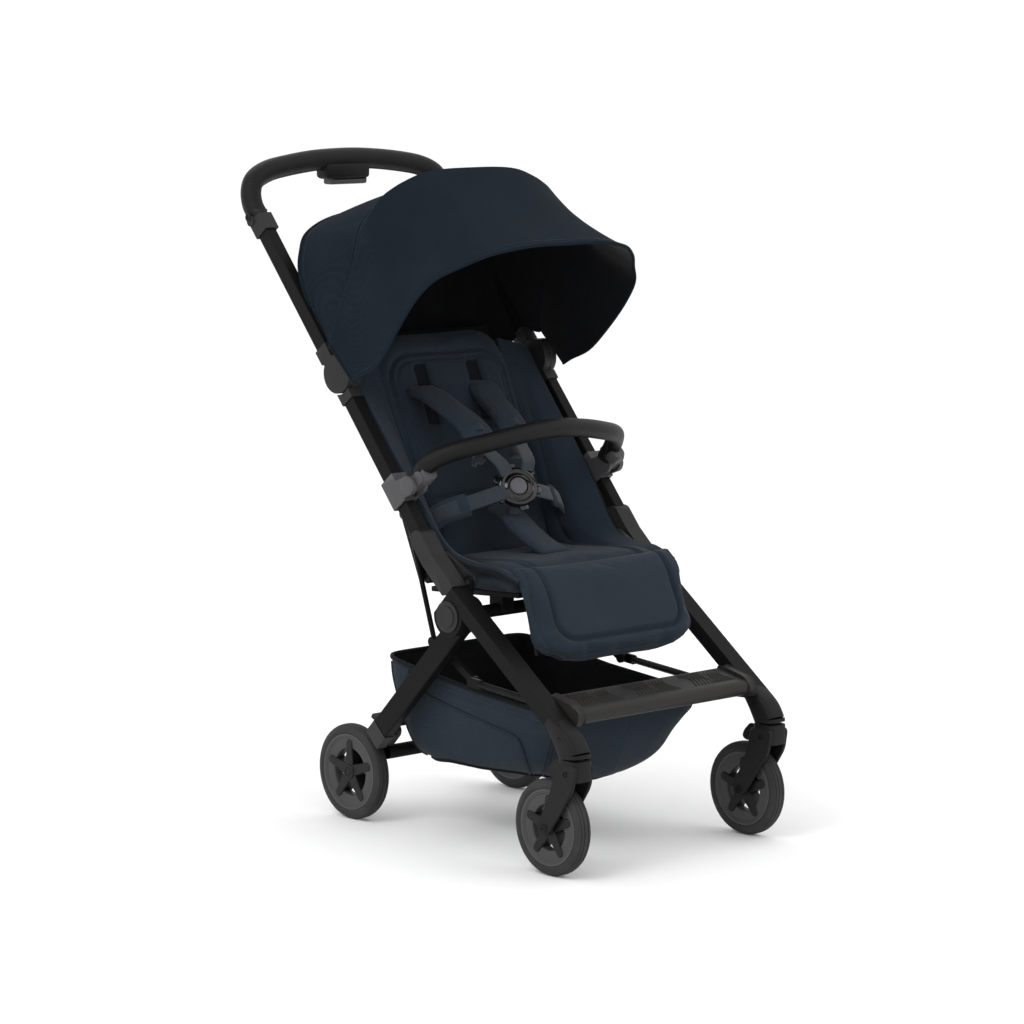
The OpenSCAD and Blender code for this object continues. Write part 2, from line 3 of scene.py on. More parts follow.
import bpy
import numpy as np
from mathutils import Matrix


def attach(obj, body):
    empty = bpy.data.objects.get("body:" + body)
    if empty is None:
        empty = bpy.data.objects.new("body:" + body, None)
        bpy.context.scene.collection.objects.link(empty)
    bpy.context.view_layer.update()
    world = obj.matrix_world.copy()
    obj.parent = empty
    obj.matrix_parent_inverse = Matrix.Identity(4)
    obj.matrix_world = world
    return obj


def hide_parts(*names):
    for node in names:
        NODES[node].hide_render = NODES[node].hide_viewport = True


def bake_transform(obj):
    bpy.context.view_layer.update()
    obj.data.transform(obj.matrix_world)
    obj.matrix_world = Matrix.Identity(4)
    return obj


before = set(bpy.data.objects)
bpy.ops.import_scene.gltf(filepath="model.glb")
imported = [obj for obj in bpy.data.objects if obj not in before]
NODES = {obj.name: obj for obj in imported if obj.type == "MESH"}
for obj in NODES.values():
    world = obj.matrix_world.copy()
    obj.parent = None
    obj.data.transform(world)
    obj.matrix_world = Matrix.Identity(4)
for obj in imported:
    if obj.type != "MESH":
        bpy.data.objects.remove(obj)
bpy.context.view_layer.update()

SCENE = bpy.context.scene
UP = np.array([0.0, 0.0, 1.0])
SIDE = np.array([1.0, 0.0, 0.0])
SIDES = (("right", -1.0), ("left", 1.0))
CASTOR_X = .205         # of the castors, their forks and the knuckles above them
FITTING_FACE = .218     # outer face of the bumper clamps and of the handle's collars
AXIS_RADIUS = .0001     # stands for zero in a turned profile, so that no faces collapse

# ---------------- camera, lights, floor

CAM_AZIMUTH = math.radians(-42.418)
CAM_ELEVATION = math.radians(7.782)
CAM_DISTANCE = 5.7481
CAM_TARGET = np.array([-.0022, -.005, .4891])
CAM_LENS = 130.2


def direction(azimuth, elevation):
    """The unit vector from the object towards a camera or light at these angles."""
    flat = math.cos(elevation)
    return np.array([math.sin(azimuth) * flat, -math.cos(azimuth) * flat, math.sin(elevation)])


def aim(ob, place, target):
    from mathutils import Vector
    ob.location = Vector(place)
    ob.rotation_euler = (Vector(target) - Vector(place)).to_track_quat("-Z", "Y").to_euler()


camera_data = bpy.data.cameras.new("camera")
camera_data.lens = CAM_LENS
camera_data.sensor_width = 36.0
camera_data.clip_end = 200.0
camera = bpy.data.objects.new("camera", camera_data)
SCENE.collection.objects.link(camera)
aim(camera, CAM_TARGET + CAM_DISTANCE * direction(CAM_AZIMUTH, CAM_ELEVATION), CAM_TARGET)
SCENE.camera = camera
SCENE.view_settings.view_transform = "Standard"


def area_light(name, azimuth, elevation, distance, size, power):
    data = bpy.data.lights.new(name, "AREA")
    data.shape = "DISK"
    data.size = size
    data.energy = power
    ob = bpy.data.objects.new(name, data)
    SCENE.collection.objects.link(ob)
    aim(ob, CAM_TARGET + distance * direction(math.radians(azimuth), math.radians(elevation)),
        CAM_TARGET)


# name, azimuth, elevation, distance, size, power
area_light("key", -80.0, 42.0, 3.8, 1.8, 34.0)
area_light("fill", 25.0, 35.0, 4.4, 2.4, 16.0)
area_light("back", 165.0, 50.0, 4.0, 2.0, 12.0)

world = bpy.data.worlds.new("studio")
world.use_nodes = True
world.node_tree.nodes["Background"].inputs["Color"].default_value = (1.0, 1.0, 1.0, 1.0)
world.node_tree.nodes["Background"].inputs["Strength"].default_value = 1.1
SCENE.world = world

# ---------------- materials


class Shader:
    """A small helper that adds and links the nodes of one material."""

    def __init__(self, name):
        self.mat = bpy.data.materials.new(name)
        self.mat.use_nodes = True
        self.tree = self.mat.node_tree
        self.bsdf = self.tree.nodes["Principled BSDF"]
        self.place = self.add("ShaderNodeTexCoord", out="Object")

    def put(self, socket, value):
        if hasattr(value, "is_linked"):
            self.tree.links.new(value, socket)
        else:
            socket.default_value = value

    def add(self, kind, inputs=(), out=0, **settings):
        """Adds a node, sets or links its inputs and returns one of its outputs."""
        made = self.tree.nodes.new(kind)
        for key, value in settings.items():
            setattr(made, key, value)
        for key, value in dict(inputs).items():
            self.put(made.inputs[key], value)
        return made.outputs[out]

    def math(self, kind, a, b=0.0):
        return self.add("ShaderNodeMath", {0: a, 1: b}, operation=kind)

    def noise(self, scale, detail=3.0, rough=.55):
        return self.add("ShaderNodeTexNoise", {"Vector": self.place, "Scale": scale,
                                               "Detail": detail, "Roughness": rough}, "Fac")

    def cells(self, scale):
        return self.add("ShaderNodeTexVoronoi", {"Vector": self.place, "Scale": scale}, "Distance")

    def axes(self, factor):
        """The object coordinates x, y and z, each times factor."""
        scaled = self.add("ShaderNodeVectorMath", {0: self.place, 1: (factor, factor, factor)},
                          operation="MULTIPLY")
        split = self.tree.nodes.new("ShaderNodeSeparateXYZ")
        self.put(split.inputs[0], scaled)
        return split.outputs[:3]

    def ramp(self, value, low, high, to_low=0.0, to_high=1.0):
        return self.add("ShaderNodeMapRange", {"Value": value, "From Min": low, "From Max": high,
                                               "To Min": to_low, "To Max": to_high}, clamp=True)

    def weigh(self, *parts):
        """The sum of (value, weight) pairs."""
        terms = [self.math("MULTIPLY", value, weight) for value, weight in parts]
        total = terms.pop()
        while terms:
            total = self.math("ADD", terms.pop(), total)
        return total

    def mix(self, share, first, second):
        return self.add("ShaderNodeMix", {0: share, 6: (*first, 1.0), 7: (*second, 1.0)}, 2,
                        data_type="RGBA")

    def bump(self, height, distance, strength=1.0, under=None):
        inputs = {"Distance": distance, "Strength": strength, "Height": height}
        if under is not None:
            inputs["Normal"] = under
        return self.add("ShaderNodeBump", inputs, "Normal")

    def finish(self, color, rough, normal, **fixed):
        self.put(self.bsdf.inputs["Base Color"], color)
        self.put(self.bsdf.inputs["Roughness"], rough)
        self.put(self.bsdf.inputs["Normal"], normal)
        for key, value in fixed.items():
            self.bsdf.inputs[key.replace("_", " ")].default_value = value
        return self.mat


def woven(name, dark, light, pitch, depth, rough=.82, sheen=.06, crease=.0018, specular=.1):
    """Plain weave: threads from sine products along the three axes, mottled and softly creased."""
    s = Shader(name)
    waves = [s.math("SINE", axis) for axis in s.axes(2.0 * math.pi / pitch)]
    pairs = [s.math("ABSOLUTE", s.math("MULTIPLY", waves[i], waves[j]))
             for i, j in ((0, 1), (1, 2), (0, 2))]
    weave = s.math("MAXIMUM", s.math("MAXIMUM", pairs[0], pairs[1]), pairs[2])
    mottle = s.ramp(s.noise(14.0, 4.0), .3, .7)
    fibre = s.ramp(s.noise(420.0, 2.0), .25, .75)
    color = s.mix(s.weigh((weave, .45), (mottle, .3), (fibre, .25)), dark, light)
    folds = s.bump(s.noise(11.0, 3.0, .5), crease)
    threads = s.bump(weave, depth, .7, folds)
    return s.finish(color, s.ramp(mottle, 0.0, 1.0, rough - .06, rough + .06), threads,
                    Sheen_Weight=sheen, Sheen_Roughness=.45, Specular_IOR_Level=specular)


def ribbed(name, dark, light, pitch):
    """Webbing: fine diagonal ribs across the strap with a soft sheen."""
    s = Shader(name)
    x, y, z = s.axes(2.0 * math.pi / pitch)
    along = s.math("SINE", s.math("ADD", y, z))
    across = s.math("SINE", s.math("MULTIPLY", x, 1.7))
    rib = s.ramp(s.math("ADD", along, s.math("MULTIPLY", across, .6)), -1.2, 1.2)
    wear = s.ramp(s.noise(60.0, 3.0), .3, .75)
    color = s.mix(s.weigh((rib, .6), (wear, .4)), dark, light)
    return s.finish(color, s.ramp(wear, 0.0, 1.0, .6, .75), s.bump(rib, .0004, .8),
                    Sheen_Weight=.3, Sheen_Roughness=.4, Specular_IOR_Level=.25)


def leather(name, dark, light):
    """Grained leatherette: pebbles from cells, pores and a faint polish where hands rub."""
    s = Shader(name)
    pebbles = s.ramp(s.cells(620.0), .05, .65)
    pores = s.ramp(s.noise(1500.0, 2.0), .4, .7)
    polish = s.ramp(s.noise(9.0, 3.0), .35, .7)
    color = s.mix(s.weigh((pebbles, .5), (polish, .5)), light, dark)
    rough = s.math("ADD", s.ramp(polish, 0.0, 1.0, .5, .4), s.math("MULTIPLY", pores, .08))
    grain = s.bump(pores, .0001, .5, s.bump(pebbles, -.0005, .6))
    return s.finish(color, rough, grain, Specular_IOR_Level=.17)


def coated(name, dark, light, rough, grain, specular=.3, scuffs=.5):
    """Powder coat or moulded plastic: fine orange peel, cloudy tone and lighter scuffed patches."""
    s = Shader(name)
    peel = s.noise(grain, 2.0, .6)
    cloud = s.ramp(s.noise(6.0, 4.0), .3, .7)
    scuff = s.ramp(s.noise(38.0, 5.0, .7), .62, .8, 0.0, scuffs)
    edge = s.ramp(s.add("ShaderNodeNewGeometry", out="Pointiness"), .52, .6, 0.0, .8)
    share = s.math("MAXIMUM", s.math("MULTIPLY", cloud, .45), s.math("MAXIMUM", scuff, edge))
    color = s.mix(share, dark, light)
    roughness = s.ramp(cloud, 0.0, 1.0, rough - .05, rough + .06)
    normal = s.bump(peel, .00035, .5, s.bump(s.noise(5.0, 2.0), .0012, .4))
    return s.finish(color, roughness, normal, Specular_IOR_Level=specular)


def rubber(name, dark, dust):
    """Tyre rubber: matt black with dust gathered in patches and fine pits."""
    s = Shader(name)
    patches = s.ramp(s.noise(24.0, 5.0, .65), .42, .78)
    pits = s.noise(900.0, 2.0)
    color = s.mix(s.math("MULTIPLY", patches, .6), dark, dust)
    return s.finish(color, s.ramp(patches, 0.0, 1.0, .68, .85), s.bump(pits, .0003, .6),
                    Specular_IOR_Level=.3)


FABRIC = woven("fabric_navy", (.0085, .014, .021), (.021, .03, .042), .0016, .00025)
# Same navy cloth as FABRIC at about 0.6 of its colours: painted shade over the whole hood, which the
# lamps light more brightly than the seat.
HOOD_FABRIC_SHADED = woven("fabric_hood_painted_shade", (.0052, .0086, .013), (.0132, .0186, .0262), .0016,
                    .0002, sheen=.008, crease=.0012, specular=.02)
PAD_CLOTH = woven("pad_cloth", (.0125, .0185, .027), (.029, .0395, .053), .0013, .0002)
LINING = woven("lining_black", (.002, .0022, .003), (.006, .0066, .0085), .0018, .0002,
               .9, .1)
BINDING = woven("binding_black", (.0024, .003, .0044), (.0068, .0084, .0115), .0012,
                .0003, .8, .04)
THREAD = ribbed("thread_navy", (.006, .009, .014), (.024, .032, .042), .0008)
WEBBING = ribbed("webbing_grey_blue", (.013, .019, .026), (.038, .049, .062), .0022)
LEATHER = leather("leather_black", (.003, .0029, .0028), (.009, .0086, .0082))
LEATHER_THREAD = ribbed("thread_black", (.003, .003, .003), (.02, .019, .018), .0008)
COAT = coated("frame_black", (.005, .0049, .005), (.012, .0118, .0118), .36, 700.0, .06)
FITTING = coated("fitting_plastic", (.015, .0144, .0146), (.032, .0306, .0312), .5, 480.0,
                 .16)
FORK = coated("fork_plastic", (.0055, .0053, .0055), (.015, .0146, .015), .5, 480.0, .15)
GREY_PLASTIC = coated("grey_plastic", (.05, .048, .051), (.088, .085, .09), .46,
                      520.0, .25)
RIM = coated("rim_plastic", (.036, .0355, .0355), (.072, .071, .071), .48, 460.0, .25)
STAR = coated("star_plastic", (.0034, .0034, .0036), (.011, .0108, .011), .42, 520.0,
              .2)
TREAD = rubber("tyre_rubber", (.018, .018, .0185), (.05, .049, .048))
BOARD = coated("board_plastic", (.004, .004, .0042), (.01, .01, .0105), .6, 380.0,
               .12)
WARM = coated("footrest_plastic", (.0125, .0115, .011), (.029, .0268, .0258), .5, 420.0,
              .22)
GLOSS = coated("gloss_black", (.004, .004, .0045), (.011, .0108, .0115), .14, 200.0,
               .5, .25)
BUTTON = coated("button_grey", (.085, .085, .096), (.125, .125, .14), .4, 500.0)
FLOOR = coated("floor_pale", (.925, .925, .925), (.955, .955, .955), .85, 30.0, .1)


FLOOR_HALF = 45.0


def plain_floor():
    corners = [(x * FLOOR_HALF, y * FLOOR_HALF, 0.0) for x, y in ((-1, -1), (1, -1), (1, 1), (-1, 1))]
    mesh = bpy.data.meshes.new("floor")
    mesh.from_pydata(corners, [], [(0, 1, 2, 3)])
    mesh.materials.append(FLOOR)
    ob = bpy.data.objects.new("floor", mesh)
    SCENE.collection.objects.link(ob)


plain_floor()

# ---------------- mesh helpers


class Shape:
    """Gathers the vertices and faces of one piece, each face with its material."""

    def __init__(self):
        self.points, self.faces, self.picks = [], [], []

    def add(self, points, faces, pick=0):
        start = len(self.points)
        self.points.extend(tuple(float(c) for c in p) for p in points)
        self.faces.extend(tuple(start + i for i in f) for f in faces)
        self.picks.extend([pick] * len(faces))
        return self

    def cord(self, path, section, side=None, pick=0, **more):
        """Adds an oval (width, thickness, corners, power) swept along a path."""
        side = SIDE if side is None else side
        return self.add(*sweep(path, oval(*section), side, **more), pick=pick)

    def make(self, name, materials, slot, smooth=45.0):
        mesh = bpy.data.meshes.new(name)
        mesh.from_pydata(self.points, [], self.faces)
        for m in materials:
            mesh.materials.append(m)
        mesh.polygons.foreach_set("material_index", self.picks)
        mesh.polygons.foreach_set("use_smooth", [True] * len(self.faces))
        mesh.set_sharp_from_angle(angle=math.radians(smooth))
        mesh.update()
        ob = bpy.data.objects.new(name, mesh)
        SCENE.collection.objects.link(ob)
        return ob


def unit(v):
    return v / max(np.linalg.norm(v), 1e-12)


def curve(points, count, closed=False):
    """A smooth Catmull-Rom path through the points, with count points at equal arc steps."""
    p = np.array(points, float)
    n = len(p)
    fine = []
    spans = n if closed else n - 1
    for i in range(spans):
        a, b, c, d = ((p[(i - 1) % n], p[i], p[(i + 1) % n], p[(i + 2) % n]) if closed else
                      (p[max(i - 1, 0)], p[i], p[i + 1], p[min(i + 2, n - 1)]))
        for t in np.linspace(0.0, 1.0, 24, endpoint=False):
            fine.append(.5 * (2 * b + (c - a) * t + (2 * a - 5 * b + 4 * c - d) * t * t
                               + (3 * b - a - 3 * c + d) * t ** 3))
    fine.append(p[0] if closed else p[-1])
    fine = np.array(fine)
    steps = np.r_[0.0, np.cumsum(np.linalg.norm(np.diff(fine, axis=0), axis=1))]
    wanted = np.linspace(0.0, steps[-1], count, endpoint=not closed)
    return np.stack([np.interp(wanted, steps, fine[:, i]) for i in range(fine.shape[1])], 1)


def tangents(path, closed=False):
    """The unit direction of a path at each of its points."""
    if closed:
        t = np.roll(path, -1, 0) - np.roll(path, 1, 0)
    else:
        t = np.gradient(path, axis=0)
    return t / np.maximum(np.linalg.norm(t, axis=1)[:, None], 1e-12)


def oval(width, thick, count=16, power=2.6):
    """A closed section: an ellipse at power 2, squarer above it."""
    a = np.linspace(0.0, 2 * math.pi, count, endpoint=False)
    c, s = np.cos(a), np.sin(a)
    return np.stack([width / 2 * np.sign(c) * np.abs(c) ** (2 / power),
                     thick / 2 * np.sign(s) * np.abs(s) ** (2 / power)], 1)


def quads(rows, cols, wrap_rows=False, wrap_cols=False):
    """The faces of a grid of points, as (a, b, c, d) indices, row by row."""
    return [(i * cols + j, i * cols + (j + 1) % cols, (i + 1) % rows * cols + (j + 1) % cols,
             (i + 1) % rows * cols + j)
            for i in range(rows if wrap_rows else rows - 1)
            for j in range(cols if wrap_cols else cols - 1)]


def rim_pairs(rows, cols):
    """Neighbouring indices round the outside of a grid of points."""
    edge = ([j for j in range(cols)] + [i * cols + cols - 1 for i in range(1, rows)]
            + [(rows - 1) * cols + j for j in range(cols - 2, -1, -1)]
            + [i * cols for i in range(rows - 2, 0, -1)])
    return list(zip(edge, edge[1:] + edge[:1]))


def sweep(path, section, side=SIDE, closed=False, round_ends=0.0, swell=None):
    """Carries a closed section along a path. side is the section's first axis, or one per point."""
    path = np.array(path, float)
    t = tangents(path, closed)
    sides = np.broadcast_to(np.array(side, float), path.shape)
    scale = np.ones((len(path), 2)) if swell is None else np.array(swell, float)
    scale = scale if scale.ndim == 2 else np.stack([scale, scale], 1)
    rings = []
    for i in range(len(path)):
        across = unit(sides[i] - np.dot(sides[i], t[i]) * t[i])
        up = np.cross(t[i], across)
        rings.append(path[i] + section[:, :1] * scale[i, 0] * across
                     + section[:, 1:] * scale[i, 1] * up)
    if round_ends and not closed:
        for end, way in ((0, -1), (-1, 1)):
            base, tip = rings[end], path[end]
            extra = [tip + way * t[end] * round_ends * math.sin(a) + (base - tip) * math.cos(a)
                     for a in (.45, .85, 1.2, 1.45)]
            rings = (extra[::-1] + rings) if way < 0 else (rings + extra)
    rings = np.array(rings)
    n, m = rings.shape[:2]
    faces = [(a, d, c, b) for a, b, c, d in quads(n, m, closed, True)]
    if not closed:
        faces.append(tuple(range(m)))
        faces.append(tuple(reversed(range((n - 1) * m, n * m))))
    return rings.reshape(-1, 3), faces


def grid_normals(grid):
    du = np.gradient(grid, axis=1)
    dv = np.gradient(grid, axis=0)
    n = np.cross(du, dv)
    return n / np.maximum(np.linalg.norm(n, axis=2)[..., None], 1e-12)


def thick_sheet(shape, grid, thickness, pick_out=0, pick_in=1):
    """Adds a closed thin solid: the grid is its outer face, offset inwards by thickness."""
    rows, cols = grid.shape[:2]
    inner = grid - grid_normals(grid) * thickness
    outer_faces = quads(rows, cols)
    off, start = rows * cols, len(shape.points)
    shape.add(np.concatenate([grid.reshape(-1, 3), inner.reshape(-1, 3)]), outer_faces, pick_out)
    inner_faces = [(off + a, off + d, off + c, off + b) for a, b, c, d in outer_faces]
    rim = [(b, a, off + a, off + b) for a, b in rim_pairs(rows, cols)]
    for faces, pick in ((inner_faces, pick_in), (rim, pick_out)):
        shape.faces.extend(tuple(start + i for i in f) for f in faces)
        shape.picks.extend([pick] * len(faces))
    return shape


def stitches(shape, path, lift, pitch=.0042, length=.0028, width=.0008, pick=0):
    """A row of small raised stitches along a path, each a tapered bead. lift is the row's normal."""
    path = np.array(path, float)
    total = np.linalg.norm(np.diff(path, axis=0), axis=1).sum()
    count = max(int(total / pitch), 2)
    line = curve(path, count)
    t = tangents(line)
    lifts = np.broadcast_to(np.array(lift, float), line.shape) if np.ndim(lift) == 1 else \
        np.array(lift)[np.linspace(0, len(lift) - 1, count).round().astype(int)]
    for i in range(count):
        n = unit(lifts[i] - np.dot(lifts[i], t[i]) * t[i])
        across = np.cross(t[i], n)
        ring = []
        for s in (-.32, .32):
            for x, y in ((-.5, 0.0), (0.0, .55), (.5, 0.0), (0.0, -.5)):
                ring.append(line[i] + t[i] * s * length + across * x * width + n * y * width)
        ring.append(line[i] - t[i] * .5 * length)
        ring.append(line[i] + t[i] * .5 * length)
        faces = [(k, 4 + k, 4 + (k + 1) % 4, (k + 1) % 4) for k in range(4)]
        faces += [(8, k, (k + 1) % 4) for k in range(4)]
        faces += [(9, 4 + (k + 1) % 4, 4 + k) for k in range(4)]
        shape.add(ring, faces, pick)
    return shape


def lathe(shape, profile, centre, pick=0, count=64):
    """Turns a closed profile of (x, radius) about the axis along X through centre (y, z)."""
    m = len(profile)
    points = []
    for k in range(count):
        a = 2 * math.pi * k / count
        for x, r in profile:
            points.append((x, centre[0] + r * math.cos(a), centre[1] + r * math.sin(a)))
    return shape.add(points, quads(count, m, True, True), pick)


def turned(shape, profile, x, way, centre, pick=0, count=40):
    """A small lathed part: its profile of (distance, radius) starts at x and faces way along X."""
    facing = profile if way > 0 else profile[::-1]
    lathe(shape, [(x + way * a, max(r, AXIS_RADIUS)) for a, r in facing], centre, pick, count)


def prism(shape, outline, x0, x1, centre, pick=0, chamfer=.0012):
    """A plate across X with a closed outline (y, z) about centre and chamfered edges."""
    o = np.array(outline, float)
    t = np.roll(o, -1, 0) - np.roll(o, 1, 0)
    n = np.stack([t[:, 1], -t[:, 0]], 1)
    n /= np.maximum(np.linalg.norm(n, axis=1)[:, None], 1e-9)
    inner = o - n * chamfer
    sign = 1.0 if x1 > x0 else -1.0
    rings = [(x0, inner), (x0 + sign * chamfer, o), (x1 - sign * chamfer, o), (x1, inner)]
    points = [(x, centre[0] + p[0], centre[1] + p[1]) for x, ring in rings for p in ring]
    m = len(o)
    faces = quads(4, m, False, True)
    faces += [tuple(reversed(range(m))), tuple(range(3 * m, 4 * m))]
    if sign < 0:
        faces = [tuple(reversed(f)) for f in faces]
    return shape.add(points, faces, pick)


def rounded(corners, radius, steps=4):
    """The closed polygon with every corner rounded."""
    p = np.array(corners, float)
    out = []
    for i in range(len(p)):
        a, b, c = p[i - 1], p[i], p[(i + 1) % len(p)]
        u, v = unit(a - b), unit(c - b)
        cut = min(radius, .45 * np.linalg.norm(a - b), .45 * np.linalg.norm(c - b))
        start, end = b + u * cut, b + v * cut
        for t in np.linspace(0.0, 1.0, steps):
            out.append(start * (1 - t) ** 2 + 2 * b * t * (1 - t) + end * t * t)
    return np.array(out)


def in_plane(points, x):
    return [(x, y, z) for y, z in points]


def falloff(distance, width):
    """One at distance zero, fading like a bell over width."""
    return np.exp(-(np.array(distance) / width) ** 2)


def smooth01(t):
    t = np.clip(t, 0.0, 1.0)
    return t * t * (3 - 2 * t)


# ---------------- carried-over CAD nodes

WELD_DISTANCE = .00002
BEVEL_ANGLE = math.radians(38.0)
# width and segments
TUBE_BEVEL = (.0038, 3)
PLAIN_BEVEL = (.0011, 2)


def pair(name):
    return [name + "_right", name + "_left"]


FINISHES = {
    COAT: [*pair("rear_leg"), *pair("seat_tube"), *pair("push_tube"), "rear_cross_tube",
           "hub_axle_tube", "struts", "rim_rails", *pair("front_leg")],
    FITTING: [*pair("bend_fitting"), "upper_hubs", "hub_caps", *pair("rear_foot"),
              "handle_collars", "pivot_screws", "brake_pedal", *pair("front_axle")],
    GREY_PLASTIC: ["bumper_clamps", "bumper_collars"],
    BOARD: ["seat_board", "backrest_board", "calf_board"],
}
for finish, nodes in FINISHES.items():
    for name in nodes:
        ob = NODES[name]
        ob.data.materials.clear()
        ob.data.materials.append(finish)
        weld = ob.modifiers.new("weld", "WELD")
        weld.merge_threshold = WELD_DISTANCE
        bevel = ob.modifiers.new("bevel", "BEVEL")
        tube = any(word in name for word in ("_tube_", "_leg_"))
        bevel.width, bevel.segments = TUBE_BEVEL if tube else PLAIN_BEVEL
        bevel.limit_method = "ANGLE"
        bevel.angle_limit = BEVEL_ANGLE
        bevel.use_clamp_overlap = True
        bevel.harden_normals = True

# ---------------- canopy

HUB_YZ = (.16, .706)


def hoop(stations, count):
    """One hoop of the canopy from (half width, radius, angle in degrees) about the hub axis."""
    half = [(x, HUB_YZ[0] + r * math.cos(math.radians(a)), HUB_YZ[1] + r * math.sin(math.radians(a)))
            for x, r, a in stations]
    both = [(-x, y, z) for x, y, z in reversed(half[1:])] + half
    return curve(both, count)


def at_angle(angle, pairs):
    """Stations of (half width, radius), which lie at this angle unless they name their own."""
    return [(p[0], p[1], p[2] if len(p) > 2 else angle) for p in pairs]


REAR_HOOP = at_angle(56.0, [(0, .287), (.065, .283), (.12, .27), (.165, .247), (.188, .218),
                            (.201, .19, 55), (.206, .15, 53), (.206, .1, 51), (.206, .055, 54)])
DIP_HOOP = at_angle(97.0, [(0, .297), (.06, .295), (.1, .287), (.133, .275), (.154, .264),
                           (.173, .252), (.188, .237), (.2035, .22, 98), (.206, .165, 96),
                           (.208, .12, 90), (.212, .078, 80), (.2195, .042, 72)])
HUMP_HOOP = at_angle(102.5, [(0, .321), (.06, .32), (.1, .315), (.135, .303), (.156, .293),
                             (.176, .28), (.191, .259), (.206, .236, 104), (.208, .168, 101.6),
                             (.2105, .13, 96), (.215, .082, 86), (.2215, .043, 78)])
RIM_HOOP = at_angle(144.3, [(0, .351), (.07, .35), (.135, .334), (.176, .305), (.207, .269),
                            (.227, .238, 147), (.231, .19, 152), (.2265, .135, 161),
                            (.2225, .1, 170), (.2215, .062, 178), (.2215, .044, 190)])
CANOPY_COLS = 97


def canopy_grid():
    """Rows from the rear hoop to the front rim; between hoops the cloth is pulled in by pull."""
    rear, dip, hump, rim = (hoop(h, CANOPY_COLS) for h in
                            (REAR_HOOP, DIP_HOOP, HUMP_HOOP, RIM_HOOP))
    around = np.linspace(-1.0, 1.0, CANOPY_COLS)
    crown = (1.0 - np.abs(around) ** 3)[:, None]
    hub = np.array([0.0, *HUB_YZ])
    rows = []

    def span(a, b, count, pull, skip):
        for t in np.linspace(0.0, 1.0, count)[skip:]:
            line = a * (1 - t) + b * t
            inwards = hub * np.array([0, 1, 1]) + line * np.array([.25, 0, 0]) - line
            inwards /= np.linalg.norm(inwards, axis=1)[:, None]
            out = -inwards * np.array([1, 1, 1])
            rows.append(line - out * pull * crown * 4 * t * (1 - t))

    span(rear, dip, count=22, pull=-.003, skip=0)
    span(dip, hump, count=5, pull=0.0, skip=1)
    span(hump, rim, count=34, pull=.01, skip=1)
    return np.array(rows)


CANOPY = canopy_grid()
SEAM_ROW = 25
HOOD_CLOTH = .0022      # thickness of the hood with its lining
THIN_CLOTH = .0018      # of the rear flap
BAG_CLOTH = .002        # of the basket
STITCH_LIFT = .0003     # of a row of stitches above its cloth
canopy = Shape()
thick_sheet(canopy, CANOPY[::-1], HOOD_CLOTH)
CANOPY_OBJECT = canopy.make("canopy_hood", [HOOD_FABRIC_SHADED, LINING], "fabric", 60.0)


def with_hood(ob):
    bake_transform(ob)


with_hood(CANOPY_OBJECT)
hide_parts("canopy_rear_panel", "canopy_mid_panel", "canopy_front_panel")


def hood_trim():
    """Rolled rim, seam cord over the hump, bindings at the rear and the sides, stitches."""
    normals = grid_normals(CANOPY[::-1])[::-1]
    trim = Shape()
    rim_path = CANOPY[-1]
    trim.cord(rim_path, (.0056, .0046, 12, 2.2), UP, round_ends=.003, pick=1)
    path = CANOPY[SEAM_ROW - 3] + normals[SEAM_ROW - 3] * .0002
    trim.cord(path, (.0026, .0018, 10, 2.0), UP, round_ends=.002, pick=1)
    rear = CANOPY[0]
    trim.cord(rear, (.0056, .0044, 10, 2.2), UP, round_ends=.002, pick=1)
    for side in (0, -1):
        low = CANOPY[:, side]
        trim.cord(curve(low, 60), (.0048, .004, 10, 2.0), SIDE, round_ends=.002, pick=1)
    for row in (SEAM_ROW - 2, len(CANOPY) - 3, 2):
        stitches(trim, CANOPY[row] + normals[row] * STITCH_LIFT, normals[row], pick=2)
    ob = trim.make("canopy_trim", [BINDING, HOOD_FABRIC_SHADED, THREAD], "fabric", 60.0)
    with_hood(ob)
    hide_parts("canopy_front_bow")
    return ob


HOOD_TRIM = hood_trim()


def rear_flap():
    """The short cloth flap that hangs from the rear hoop down to the top of the backrest."""
    cols = 65
    top = hoop(REAR_HOOP, cols)
    around = np.linspace(-1.0, 1.0, cols)
    low = np.stack([.168 * np.sign(around) * np.abs(around) ** .8,
                    .236 - .026 * np.abs(around) ** 3,
                    .735 - .03 * np.abs(around) ** 3], 1)
    rows = []
    for t in np.linspace(0.0, 1.0, 20):
        line = top * (1 - t) + low * t
        line[:, 1] += .014 * math.sin(math.pi * t) * (1 - around ** 2)
        line[:, 1] += .0016 * math.sin(math.pi * t) * np.sin(around * 21.0)
        rows.append(line)
    grid = np.array(rows)
    flap = Shape()
    thick_sheet(flap, grid, THIN_CLOTH)
    normal = grid_normals(grid)
    flap.cord(grid[-1], (.006, .0042, 10, 2.2), UP, round_ends=.002, pick=2)
    stitches(flap, grid[-3] + normal[-3] * STITCH_LIFT, normal[-3], pick=3)
    ob = flap.make("canopy_rear_flap", [HOOD_FABRIC_SHADED, LINING, BINDING, THREAD], "fabric", 60.0)
    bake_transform(ob)


rear_flap()

# ---------------- cushions

SIM_FRAMES = 20
SIM_QUALITY = 5


